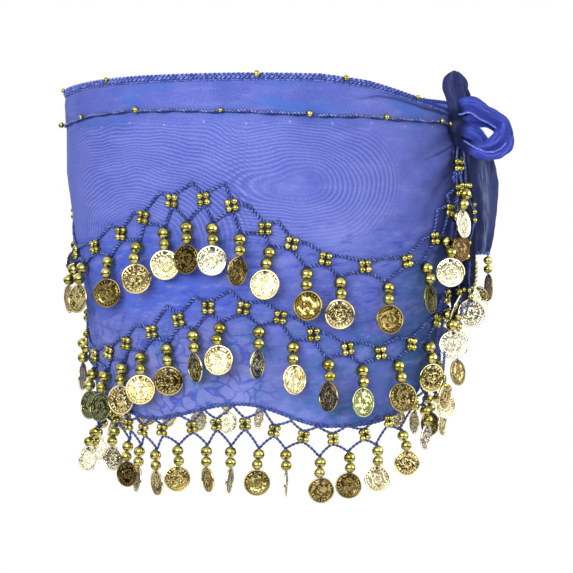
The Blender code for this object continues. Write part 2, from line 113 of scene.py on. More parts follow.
# Turn from one flower of a row to the next, at some turns.
UPPER_PITCH = (
    (1.8, 5.4), (7.0, 7.6), (27.0, 15.0), (42.0, 12.5), (65.0, 7.5), (89.0, 9.5),
    (108.0, 9.6), (131.0, 18.0), (151.0, 13.0), (186.0, 9.5), (232.0, 13.0),
    (278.0, 9.5), (318.0, 13.5), (350.0, 8.5),
)
MIDDLE_PITCH = (
    (5.0, 15.0), (20.0, 13.3), (46.0, 11.3), (58.0, 9.9), (90.0, 9.7), (119.0, 11.3),
    (131.0, 14.0), (150.0, 13.5), (186.0, 10.0), (228.0, 13.0), (274.0, 10.0),
    (318.0, 13.5), (350.0, 12.0),
)
LOWER_PITCH = (
    (1.0, 13.0), (14.0, 13.8), (28.0, 10.2), (42.0, 11.0), (60.0, 9.6), (90.0, 9.2),
    (120.0, 8.6), (146.0, 10.0), (250.0, 10.5), (300.0, 10.5), (350.0, 12.0),
)

# Front of each net. Each line holds a flower, the peak after it, and the pendant after it.
UPPER_FRONT = (  # turn, height; turn, height; turn, height, out, sway, coin turn, coin tone
    (5.3, -36.8, 7.1, -44.9, 3.6, -50.9, 5.8, -6.8, -15, 0.98),
    (5.2, -52.7, 9.4, -55.4, 5.8, -65.0, 6.0, -2.6, -4, 0.00),
    (8.0, -64.4, 13.8, -64.7, 9.3, -80.2, 7.5, -4.0, 62, 0.93),
    (14.2, -81.7, 19.9, -82.7, 18.1, -96.2, 4.8, -1.1, -17, 0.40),
    (26.5, -95.7, 34.0, -93.8, 33.7, -108.2, 4.8, -2.0, 7, 0.12),
    (42.1, -99.1, 48.5, -93.3, 50.1, -105.1, 4.8, -0.5, 19, 0.78),
    (54.7, -94.9, 59.7, -85.8, 60.1, -100.0, 5.7, -0.9, 26, 0.17),
    (64.5, -85.8, 68.2, -72.9, 70.6, -87.6, 4.8, -1.9, 16, 0.81),
    (71.9, -77.2, 75.9, -64.3, 78.7, -80.0, 8.1, 0.8, -56, 0.20),
    (80.9, -63.6, 82.8, -50.3, 86.4, -73.6, 6.4, 1.9, -12, 0.99),
    (88.7, -59.9, 91.9, -50.1, 93.7, -72.7, 5.4, 1.7, 16, 0.10),
    (98.1, -60.6, 102.0, -55.6, 101.0, -76.0, 3.8, 2.3, -19, 0.85),
    (107.9, -70.1, 111.5, -67.0, 110.2, -84.2, 8.7, 2.6, -38, 0.70),
    (117.0, -79.5, 121.9, -74.1, 123.2, -92.6, 5.4, 2.6, -24, 0.12),
    (131.1, -87.0, 137.9, -84.7, 140.4, -96.1, 4.8, 2.6, -15, 0.60),
    (150.7, -89.9, 156.5, -82.0, 156.0, -96.5, 4.8, 0.0, -19, 0.70),
)
MIDDLE_FRONT = (
    (-3.5, -117.5, 2.3, -120.1, -1.8, -124.6, 6.0, -4.3, 66, 1.00),
    (5.3, -131.8, 13.1, -133.8, 11.0, -144.2, 5.3, -2.6, 23, 0.60),
    (20.3, -145.7, 27.2, -141.3, 26.7, -155.0, 4.8, -0.5, 18, 0.24),
    (34.0, -150.6, 40.6, -143.9, 40.9, -157.2, 4.8, -0.9, -18, 0.50),
    (46.1, -147.9, 52.0, -139.3, 53.0, -153.3, 9.3, -1.4, 73, 0.22),
    (57.5, -139.3, 62.1, -129.9, 63.5, -143.1, 6.8, -0.3, -38, 0.81),
    (67.5, -129.0, 72.4, -119.5, 73.6, -134.0, 8.8, 0.1, -64, 0.56),
    (78.2, -123.6, 82.0, -113.3, 85.0, -131.8, 6.3, -1.1, 5, 0.79),
    (88.8, -123.4, 92.8, -116.8, 93.5, -136.4, 7.0, 2.6, 44, 0.58),
    (98.5, -130.8, 102.5, -122.4, 102.7, -144.5, 4.3, 2.1, -16, 0.30),
    (108.5, -138.0, 115.1, -134.0, 112.6, -149.9, 6.3, 2.6, -23, 0.74),
    (119.3, -145.1, 124.4, -142.7, 122.3, -156.8, 4.0, 2.6, -19, 0.74),
    (130.3, -151.1, 134.1, -146.7, 133.3, -162.1, 4.8, 2.6, -12, 0.43),
    (142.9, -153.5, 150.4, -146.3, 145.4, -161.5, 3.8, 2.6, -20, 0.46),
)
LOWER_FRONT = (
    (-5.5, -160.5, -1.0, -163.0, -4.5, -165.5, 5.5, 0.0, 29, 0.90),
    (1.9, -168.6, 8.3, -175.5, 8.3, -183.6, 3.8, -1.3, -6, 1.00),
    (15.4, -181.8, 21.6, -183.8, 21.6, -197.7, 5.9, -1.2, 32, 0.72),
    (28.0, -191.8, 32.6, -189.1, 32.7, -205.9, 5.0, -2.4, 25, 0.88),
    (38.0, -199.4, 44.4, -193.7, 43.7, -209.3, 4.8, -1.1, 19, 0.18),
    (49.6, -201.3, 54.7, -193.8, 53.9, -211.8, 4.8, -1.4, 9, 0.28),
    (59.6, -199.5, 63.5, -190.1, 65.3, -206.9, 8.4, -0.3, -79, 0.97),
    (69.0, -196.0, 72.3, -183.4, 73.8, -206.6, 4.8, -0.9, 1, 0.33),
    (78.2, -192.0, 82.1, -181.1, 82.8, -205.2, 8.5, 1.1, -84, 0.95),
    (87.5, -192.5, 91.9, -183.5, 90.8, -205.1, 6.4, 1.3, 47, 0.70),
    (95.8, -194.3, 101.5, -186.2, 101.1, -205.2, 5.2, 2.6, -27, 0.62),
    (107.2, -196.7, 111.4, -189.1, 110.1, -208.5, 4.6, 2.6, 30, 0.86),
    (115.5, -197.2, 118.9, -190.2, 117.2, -206.8, 5.1, 2.6, 34, 0.97),
    (122.7, -194.4, 125.1, -186.4, 123.0, -204.3, 4.8, 2.6, -10, 0.08),
    (129.8, -190.6, 133.4, -183.0, 130.5, -195.8, 3.8, 1.3, -15, 0.95),
)

# Behind: each coin's turn about its string, and its tone, again and again.
UPPER_YAWS = (38, 72, -22, 14, -16, 12, 50, 10, 32, 14, 24, 18, -40)
MIDDLE_YAWS = (24, -34, 26, 48, 40, 52, 60, 22, 58, 30, 24, -38, 34)
LOWER_YAWS = (74, 22, -16, 20, -20, 82, 20, 76, 62, -20, 70, 76, 36)
TONES = (0.9, 0.4, 0.95, 0.15, 0.85, 0.2, 0.75, 0.42, 0.95, 0.1, 0.85, 0.62, 0.25, 0.3)
LOWER_TONES = (
    0.96, 0.90, 0.97, 0.95, 0.85, 0.90, 0.80, 0.85, 0.95, 0.93, 0.88, 0.62, 0.90, 0.30,
    0.90, 0.90, 0.95, 0.15, 0.85,
)

CREASES = (  # turn, height, turn, height, width, rise
    (3.0, -16.0, 34.0, -44.0, 5.0, -2.2), (3.0, -20.0, 28.0, -58.0, 5.0, 2.2),
    (2.0, -24.0, 20.0, -72.0, 4.5, -2.2), (0.0, -28.0, 8.0, -130.0, 4.5, 1.8),
    (0.0, -10.0, 48.0, 4.0, 6.0, -1.0), (362.0, -16.0, 326.0, -44.0, 5.0, -2.2),
    (361.0, -20.0, 338.0, -50.0, 4.5, 1.8), (359.0, -24.0, 350.0, -48.0, 5.0, -1.6),
    (352.0, -10.0, 312.0, 4.0, 6.0, -1.0), (60.0, -120.0, 52.0, -188.0, 9.0, 1.4),
    (88.0, -150.0, 96.0, -186.0, 8.0, -1.3), (120.0, -120.0, 112.0, -186.0, 9.0, 1.5),
    (160.0, -110.0, 168.0, -176.0, 10.0, -1.5), (205.0, -84.0, 198.0, -158.0, 10.0, 1.5),
    (250.0, -90.0, 256.0, -158.0, 9.0, -1.4), (300.0, -90.0, 292.0, -156.0, 9.0, 1.4),
)
FINE_CREASES = (  # narrower ones, over the others
    (4.0, -28.6, 33.0, -38.0, 1.4, -1.1), (4.0, -32.0, 30.0, -44.0, 1.8, 0.7),
    (5.0, -42.0, 23.0, -50.0, 1.4, -1.0), (6.0, -47.0, 26.0, -61.0, 1.5, -1.0),
    (16.0, -100.0, 34.0, -118.0, 2.4, -0.7), (44.0, -112.0, 62.0, -104.0, 2.6, 0.5),
    (72.0, -96.0, 92.0, -112.0, 2.4, -0.6), (96.0, -96.0, 118.0, -104.0, 2.6, 0.6),
    (118.0, -116.0, 140.0, -122.0, 2.4, -0.6), (128.0, -126.0, 148.0, -140.0, 2.2, 0.5),
    (60.0, -150.0, 74.0, -172.0, 2.0, -0.7), (78.0, -160.0, 66.0, -182.0, 2.2, 0.6),
    (36.0, -165.0, 48.0, -186.0, 2.2, -0.7), (30.0, -170.0, 22.0, -178.0, 2.0, 0.6),
    (100.0, -160.0, 110.0, -184.0, 2.2, -0.6), (130.0, -165.0, 138.0, -176.0, 2.2, -0.6),
    (180.0, -80.0, 206.0, -96.0, 2.6, 0.6), (222.0, -92.0, 244.0, -84.0, 2.6, -0.6),
    (262.0, -84.0, 284.0, -96.0, 2.6, 0.6), (300.0, -84.0, 320.0, -92.0, 2.6, -0.6),
    (335.0, -60.0, 352.0, -40.0, 2.0, -0.8), (330.0, -80.0, 354.0, -52.0, 2.0, 0.6),
)

FOLD_LINES = (  # painted shadows of sharp folds, from the knot out: turn, height, strength of the shadow, half width
    ((11.0, -6.4, 1.0, 2.0), (23.6, -3.6, 0.9, 1.6), (34.7, 0.5, 0.7, 1.5),
     (40.1, 1.3, 0.55, 1.4), (51.0, -2.7, 0.0, 1.2)),
    ((13.0, -6.5, 1.0, 2.2), (18.7, -1.2, 0.9, 1.8), (32.0, 7.6, 0.3, 1.4)),
    ((5.9, -24.1, 1.0, 2.2), (15.1, -31.1, 0.8, 1.9), (26.0, -38.0, 0.0, 1.4)),
    ((6.0, -41.6, 1.0, 2.0), (13.7, -51.7, 0.65, 1.8), (19.5, -58.2, 0.0, 1.4)),
    ((8.3, -60.1, 0.8, 2.0), (22.3, -72.3, 0.0, 1.8)),
    ((352.0, -26.0, 0.9, 2.2), (343.0, -34.0, 0.6, 1.9), (332.0, -40.0, 0.0, 1.4)),
    ((352.0, -42.0, 0.8, 2.0), (338.0, -60.0, 0.0, 1.6)),
)
BAND_CREASES = (  # where the band is pulled towards the knot
    (52.0, -4.0, 38.7, 1.6, 1.0, -0.7), (38.7, 2.2, 27.0, 0.6, 1.0, -0.9),
    (28.0, 1.2, 13.0, -4.6, 1.0, -0.9), (46.0, -5.5, 30.0, -1.5, 1.3, 0.6),
    (22.0, -4.5, 10.0, -8.0, 1.0, -0.8), (14.0, -8.0, 30.0, -10.5, 1.2, -0.6),
)

CHAIN_START = 9.0  # turns where the braid and the seam chain start and end
CHAIN_END = 357.5
HEM_POINTS = 1100

NET_OUT = 0.8
NET_WALL = 1.3
CORD = (0.46, 0.80, 4.8)  # radius and spread of its two strands, and their pitch
FRINGE_CORD = (0.48, 0.40, 5.0)
CORD_OUT = 1.15
CORD_STEP = 0.75
CHAIN_WIDTH = 1.5
FLOWER_HALF = 2.9
FLOWER_OUT = 2.25
PETAL_SPREAD = 1.32
UPPER_CHAIN_HALF = 9.8
LOWER_CHAIN_HALF = 13.4
FLATTEST_PEAK = 0.8
SHALLOWEST_V = 3.2
HEM_LAP = 2.0
ROW_END = 351.0
STRING_STOPS = ((0.0, 0.0), (3.7, 1 / 3), (7.2, 2 / 3), (10.7, 1.0), (16.2, 1.0))
BEAD_DROPS = (3.7, 10.2)
COIN_DROP = 22.3
COIN_RADIUS = 8.9
COIN_SIDES = 26
BEAD_RADIUS = 3.0
STAGGER = 2.2
SWAY = 1.4
LOWER_SCALE = 0.88
LOWER_COIN = 0.87
HIDDEN_START = 0.75
KNOT_LIFT = 5.0
KNOT_LIFT_FOOT = -105.0
KNOT_SPREAD = 7.0
LEFT_SIDE = 162.0
RIGHT_SIDE = 342.0
SIDE_SPREAD = 13.0

# Knots of thread in a net: radius and height of each level.
FLOWER_CORE = ((0.4, -0.5), (2.2, -0.3), (2.4, 0.2), (1.4, 0.7), (0.3, 0.9))
V_TUFT = ((0.35, -1.6), (1.25, -0.9), (1.5, 0.1), (1.0, 1.2), (0.4, 1.9))
PEAK_KNOB = ((0.3, -1.0), (1.0, -0.5), (1.05, 0.4), (0.4, 1.0))
COIN_PROFILE = (  # share of the radius, height from the middle of the coin
    (0.02, -0.30), (0.5, -0.34), (0.86, -0.30), (0.93, -0.50), (0.985, -0.42), (1.0, 0.0),
    (0.985, 0.42), (0.93, 0.50), (0.86, 0.30), (0.5, 0.34), (0.02, 0.30),
)
BALL_PROFILE = [(max(np.sin(a), 0.18), -np.cos(a)) for a in np.linspace(0.18, np.pi - 0.18, 8)]

TOP_BEADS = (  # turn, radius
    (152.5, 1.5), (120.0, 1.7), (74.0, 2.1), (50.0, 1.9), (26.2, 1.5), (177.0, 1.9),
    (203.0, 1.7), (228.0, 2.0), (255.0, 1.6), (280.0, 1.9), (306.0, 1.7), (333.0, 1.8),
)
BAND_BEADS = (
    (132.2, 1.5), (108.5, 2.1), (83.5, 1.5), (60.2, 2.0), (38.0, 1.9), (15.5, 1.6),
    (10.5, 1.6), (158.0, 1.9), (184.0, 1.6), (209.0, 2.0), (235.0, 1.8), (260.0, 1.6),
    (286.0, 2.0), (311.0, 1.7), (336.0, 1.9),
)

KNOT_TURN = 6.6
KNOT_OUT = 5.4
KNOT_HALVES = (6.8, 6.6, 13.0)
BOW_TOP = (  # x, y, z, half width, half thickness, lean
    (114.6, -44.0, -4.0, 2.8, 0.9, 0.0), (117.6, -46.8, -2.6, 4.4, 0.9, 4.0),
    (121.6, -48.2, -1.0, 5.2, 0.9, 8.0), (126.8, -47.6, -1.6, 5.6, 0.9, 12.0),
    (132.2, -45.4, -5.2, 5.4, 0.9, 14.0), (138.2, -42.4, -7.9, 5.2, 0.9, 12.0),
    (143.8, -39.6, -11.4, 5.0, 0.9, 8.0), (147.2, -37.4, -17.0, 4.2, 0.9, 4.0),
    (147.8, -36.6, -23.4, 3.2, 0.8, 0.0),
)
BOW_FOOT = (
    (118.6, -43.0, -23.6, 2.0, 0.7, 0.0), (122.6, -47.0, -27.4, 2.6, 0.7, -10.0),
    (127.4, -48.8, -30.4, 2.9, 0.7, -20.0), (133.4, -48.6, -32.4, 2.9, 0.7, -25.0),
    (139.6, -47.0, -31.9, 2.8, 0.7, -25.0), (144.8, -44.6, -29.2, 2.7, 0.7, -20.0),
    (148.6, -42.4, -25.0, 2.6, 0.7, -10.0), (149.0, -40.0, -19.4, 2.2, 0.7, 0.0),
)
BOW_CROSS = (
    (117.0, -41.4, -22.4, 3.2, 0.8, 0.0), (123.4, -44.8, -25.6, 4.4, 0.9, -4.0),
    (131.6, -45.4, -28.0, 4.2, 0.9, -8.0), (138.2, -44.4, -25.4, 5.4, 0.9, -14.0),
    (143.2, -43.2, -20.6, 5.6, 0.9, -14.0), (145.2, -42.0, -15.4, 4.8, 0.9, -8.0),
    (145.4, -40.6, -11.0, 3.0, 0.9, 0.0),
)
BOW_BACK = (
    (113.8, -42.0, -13.6, 3.0, 0.9, 0.0), (118.6, -46.0, -15.0, 4.2, 0.9, 6.0),
    (123.4, -47.2, -16.6, 4.9, 0.9, 10.0), (128.0, -46.4, -18.8, 4.5, 0.9, 8.0),
    (131.6, -44.2, -21.6, 3.4, 0.8, 6.0), (134.8, -42.4, -25.6, 2.2, 0.7, 0.0),
)
BOW_INSIDE = (
    (113.4, -42.0, -9.0, 3.4, 0.9, 0.0), (119.0, -44.0, -9.2, 4.8, 0.9, 0.0),
    (125.0, -43.4, -10.0, 4.8, 0.9, 0.0), (130.4, -41.6, -10.4, 4.0, 0.9, 0.0),
    (136.2, -39.4, -11.2, 3.4, 0.8, 0.0), (142.2, -37.2, -15.6, 3.0, 0.8, 0.0),
    (144.6, -36.6, -23.0, 3.4, 0.8, 0.0), (139.6, -38.0, -28.6, 2.6, 0.8, 0.0),
)
EAR_SECTIONS = (
    (118.0, -44.6, -8.4, 4.4, 1.0, 0.0), (116.2, -46.6, -3.0, 5.6, 1.0, 2.0),
    (116.0, -46.6, 2.2, 6.4, 1.0, 4.0), (114.6, -45.4, 7.0, 6.2, 1.0, 8.0),
    (113.8, -43.8, 12.0, 6.6, 1.0, 10.0), (114.4, -43.0, 16.6, 5.0, 0.9, 12.0),
    (115.2, -42.6, 20.0, 1.6, 0.7, 12.0),
)
EAR_FOLD = (
    (122.8, -42.6, 0.4, 2.8, 0.8, 14.0), (121.6, -42.6, 4.8, 3.2, 0.8, 12.0),
    (119.9, -43.2, 8.6, 3.2, 0.8, 10.0), (119.6, -42.4, 12.4, 3.5, 0.8, 10.0),
    (117.9, -42.2, 16.4, 2.4, 0.8, 12.0), (116.4, -42.2, 19.4, 1.0, 0.6, 12.0),
)
TAIL_SECTIONS = (
    (127.6, -26.0, -19.0, 4.0, 1.0, 0.0), (130.6, -22.6, -27.0, 8.2, 1.0, 4.0),
    (131.8, -21.0, -35.7, 10.4, 1.0, 6.0), (133.3, -20.4, -48.1, 11.3, 1.0, 8.0),
    (134.6, -20.0, -60.5, 9.4, 1.0, 6.0), (134.9, -20.0, -72.9, 7.5, 1.0, 3.0),
    (134.6, -20.0, -82.2, 6.2, 1.0, 1.0), (133.7, -20.0, -89.6, 5.2, 1.0, 0.0),
)
TAIL_FOLD = (
    (118.6, -30.0, -20.4, 2.6, 0.9, 0.0), (120.4, -28.6, -38.0, 4.6, 0.9, 0.0),
    (122.6, -27.4, -57.0, 5.4, 0.9, 0.0), (123.6, -26.6, -76.0, 6.0, 0.9, 0.0),
    (122.6, -26.2, -94.0, 6.9, 0.9, 0.0), (121.8, -26.0, -108.0, 7.2, 0.8, 0.0),
    (120.0, -26.0, -121.0, 6.0, 0.8, 0.0), (118.0, -26.0, -132.0, 3.0, 0.6, 0.0),
)

# Where the ends of the nets are drawn up to the knot.
CLUSTER_BEADS = (  # x, y, z, radius
    (116.7, -40.0, -50.4, 1.8), (117.1, -40.0, -54.4, 1.8), (119.7, -38.0, -49.0, 1.7),
    (122.6, -36.0, -49.1, 1.8), (124.9, -35.0, -49.4, 1.7), (119.6, -38.0, -53.1, 1.8),
    (122.3, -36.0, -52.6, 1.8), (121.4, -36.0, -56.1, 1.8), (124.7, -34.0, -55.4, 1.8),
    (127.9, -32.0, -65.3, 1.9), (128.1, -32.0, -70.5, 1.9), (128.0, -32.0, -60.8, 1.6),
    (113.9, -35.0, -84.9, 2.2), (114.1, -35.0, -90.1, 2.2), (124.5, -31.0, -84.4, 2.0),
    (123.3, -31.0, -92.5, 2.4), (120.4, -32.0, -92.9, 2.2), (119.7, -33.0, -81.7, 1.8),
    (118.9, -28.0, -114.3, 2.4), (125.2, -27.0, -113.2, 1.7), (126.2, -27.0, -117.2, 2.2),
    (122.0, -27.0, -112.9, 1.7), (111.7, -36.0, -114.1, 1.5), (112.6, -36.0, -117.0, 1.3),
    (118.7, -27.0, -130.0, 2.2), (114.0, -27.0, -135.9, 2.4), (118.7, -27.0, -135.9, 2.3),
    (122.5, -26.0, -129.8, 1.6), (108.8, -30.0, -167.0, 2.3), (109.2, -30.0, -171.9, 2.5),
)
CLUSTER_COINS = (  # x, y, z, bearing of the face, tone, radius, how far it looks up
    (116.9, -33.0, -123.1, 77.0, 0.90, 8.9, -24.0), (131.3, -22.0, -119.0, 22.0, 0.97, 8.4, 4.0),
    (126.9, -26.0, -127.3, 10.0, 1.00, 8.9, -4.0), (118.8, -20.0, -146.0, 30.0, 0.90, 8.7, 0.0),
    (118.5, -26.0, -164.0, 52.0, 0.22, 8.1, 5.0), (110.0, -30.0, -178.6, 58.0, 0.72, 7.8, -3.0),
)
CLUSTER_STRINGS = (  # each runs down from the knot: x, y, z of its turns
    ((117.3, -40.0, -24.2), (116.7, -36.5, -36.8), (116.9, -39.5, -53.4),
     (117.4, -39.0, -66.2), (116.9, -38.0, -71.7)),
    ((120.6, -38.0, -25.3), (122.0, -36.0, -37.4), (122.6, -36.2, -50.8),
     (124.5, -35.0, -58.1), (127.8, -33.0, -64.1), (128.1, -32.5, -71.5),
     (125.5, -31.5, -82.5), (123.3, -31.5, -92.3)),
    ((119.9, -35.5, -31.8), (119.8, -36.0, -49.0), (121.5, -35.0, -61.2),
     (120.3, -34.0, -76.4), (120.3, -32.5, -92.9), (119.5, -30.0, -103.9),
     (118.9, -28.5, -114.4), (120.9, -27.5, -124.2), (118.7, -27.5, -135.9)),
    ((125.7, -29.0, -95.9), (125.2, -28.0, -107.0), (126.1, -27.5, -117.5),
     (122.5, -26.5, -129.8), (118.5, -24.0, -140.3), (117.9, -24.0, -151.4),
     (118.4, -26.0, -157.5)),
    ((109.7, -33.0, -151.1), (109.3, -31.0, -159.8), (108.7, -30.5, -166.6),
     (109.2, -30.0, -172.7)),
)
FOOT_BEADS = (  # x, y, z of the small beads strung from the foot of the hanging end
    (128.9, -21.5, -93.4), (129.6, -22.0, -96.1), (129.8, -22.5, -98.8), (129.7, -23.0, -101.5),
    (129.6, -23.5, -104.3), (129.3, -24.0, -107.0), (128.6, -24.5, -109.6), (127.2, -25.0, -111.7),
    (125.2, -25.5, -113.2),
)
TRIM_TOP = np.array((133.7, -20.0, -90.0))
FRONT = (0.0, -1.0, 0.0)
STRIP_SIDES = 52
CRUMPLE = 0.3
PLY_LOBE = 0.34

# Strips of the tied cloth: sections, points along, folds, depth, phase, flutter.
BOW_STRIPS = (
    (BOW_TOP, 120, 1.3, 0.8, 0.4, 0.25), (BOW_FOOT, 110, 0.8, 0.5, 2.0, 0.4),
    (BOW_CROSS, 100, 1.2, 0.7, 1.0, 0.2), (BOW_BACK, 80, 1.4, 0.6, 2.6, 0.2),
    (BOW_INSIDE, 90, 1.2, 0.5, 0.3, 0.3),
)
EAR_STRIPS = ((EAR_SECTIONS, 80, 1.3, 1.0, 0.9, 0.3), (EAR_FOLD, 70, 0.9, 0.6, 2.2, 0.2))
TAIL_STRIPS = ((TAIL_SECTIONS, 140, 1.7, 1.4, 0.6, 0.12),)
KNOT_STRIPS = ((TAIL_FOLD, 110, 1.4, 0.7, 1.2),)

# Interference rings: turn and height of their centre, reach, spacing, stretch, trail, and where
# along the cloth they fade in.
RINGS = (
    (112.0, -76.0, 84.0, 1.9, 1.5, 1.0, 132.0, 152.0),
    (60.0, -45.0, 44.0, 2.1, 1.3, 0.4, 162.0, 138.0),
)
STAR_PITCH = 21.6
STAR_BLUE = (0.6, 0.66, 0.95)
# Painted shade in the hole of each coin.
HOLE_SHADE = (0.01, 0.012, 0.03)


def read(rows, at, column=1):
    """A column of a table, read between its rows, which are put in order first."""
    table = np.array(sorted(rows))
    return np.interp(at, table[:, 0], table[:, column])


def unit(vectors):
    """The vectors, each drawn to a length of 1."""
    return vectors / np.linalg.norm(vectors, axis=-1, keepdims=True)


def wave(rows, turn, sweep):
    """Cosine spans between crest and trough, and a first and last span that sweep up."""
    table = np.array(rows)
    last = len(table) - 2
    turn = np.clip(turn, table[0, 0], table[-1, 0])
    span = np.clip(np.searchsorted(table[:, 0], turn) - 1, 0, last)
    share = (turn - table[span, 0]) / (table[span + 1, 0] - table[span, 0])
    eased = 0.5 - 0.5 * np.cos(np.pi * share)
    eased = np.where(span == 0, 1.0 - (1.0 - share) ** sweep, eased)
    eased = np.where(span == last, share**sweep, eased)
    return table[span, 1] + eased * (table[span + 1, 1] - table[span, 1])


def crease_rise(creases, turn, height):
    """Sum of soft ridges: each falls off as a bell across its line and dies along it."""
    rise = np.zeros(np.broadcast(turn, height).shape)
    for turn0, height0, turn1, height1, width, peak in creases:
        run = (turn1 - turn0) * MM_PER_TURN
        fall = height1 - height0
        along = (turn - turn0) * MM_PER_TURN
        down = height - height0
        share = np.clip((along * run + down * fall) / (run * run + fall * fall), 0.0, 1.0)
        distance = np.hypot(along - share * run, down - share * fall)
        rise = rise + peak * (1.0 - share**2) * np.exp(-((distance / width) ** 2))
    return rise


def place(turn, height, out=0.0):
    """The point that lies `out` outside the cloth: an oval level, plus the creases."""
    turn, height = np.broadcast_arrays(turn, height)
    bearing = np.radians(KNOT_BEARING - turn)
    half = read(HIP_SECTIONS, height)
    lift = crease_rise(CREASES, turn, height) + out
    across = (half + lift) * np.sin(bearing)
    back = -(half * DEPTH_SHARE + lift) * np.cos(bearing)
    return np.stack((across, back, height + 0.0), axis=-1)


def outward(turn, height):
    """The level direction straight out of the hip form."""
    ahead = place(turn + 0.5, height) - place(turn - 0.5, height)
    return unit(np.stack((-ahead[..., 1], ahead[..., 0], 0.0 * ahead[..., 0]), axis=-1))


def hem_height(turn):
    """Height of the hem."""
    return wave(HEM_WAVE, turn, 3.0)


def drawn_turn(turn, height):
    """The turn of a column at a height, drawn towards the knot near either end."""
    at_start = read(END_LINES, height, 1) - PANEL_START
    at_end = read(END_LINES, height, 2) - PANEL_END
    from_start = np.exp(-(turn - PANEL_START) / END_PULL)
    to_end = np.exp(-(PANEL_END - turn) / END_PULL)
    return turn + at_start * from_start + at_end * to_end


def spline(rows, count):
    """Rows of a table carried through a smooth curve: Hermite spans with central slopes."""
    table = np.array(rows, float)
    slopes = np.gradient(table, axis=0)
    at = np.linspace(0.0, len(table) - 1.0, count)
    low = np.minimum(at.astype(int), len(table) - 2)
    t = (at - low)[:, None]
    start, end = table[low], table[low + 1]
    return (
        (2 * t**3 - 3 * t**2 + 1) * start
        + (t**3 - 2 * t**2 + t) * slopes[low]
        + (3 * t**2 - 2 * t**3) * end
        + (t**3 - t**2) * slopes[low + 1]
    )


def rounded(values, times):
    """Corners of a line softened: each inner value moves towards its neighbours' mean."""
    for _ in range(times):
        middle = (values[:-2] + 2.0 * values[1:-1] + values[2:]) / 4.0
        values = np.concatenate((values[:1], middle, values[-1:]))
    return values


def ripple(seed, u, v, count, short, long):
    """Smooth uneven waves, about -1 to 1: sines of seeded direction, length and phase."""
    draw = np.random.default_rng(seed)
    total = 0.0
    for _ in range(count):
        angle = draw.uniform(0.0, np.pi)
        length = draw.uniform(short, long)
        phase = draw.uniform(0.0, TAU)
        total = total + np.sin((u * np.cos(angle) + v * np.sin(angle)) * TAU / length + phase)
    return total / np.sqrt(count)


def way_along(path):
    """How far along its path each point lies."""
    steps = np.linalg.norm(np.diff(path, axis=-2), axis=-1)
    return np.concatenate((0.0 * steps[..., :1], np.cumsum(steps, axis=-1)), axis=-1)


def marked(first, second, third):
    """Marks, put together from their three numbers."""
    return np.stack(np.broadcast_arrays(first, second, third), axis=-1)


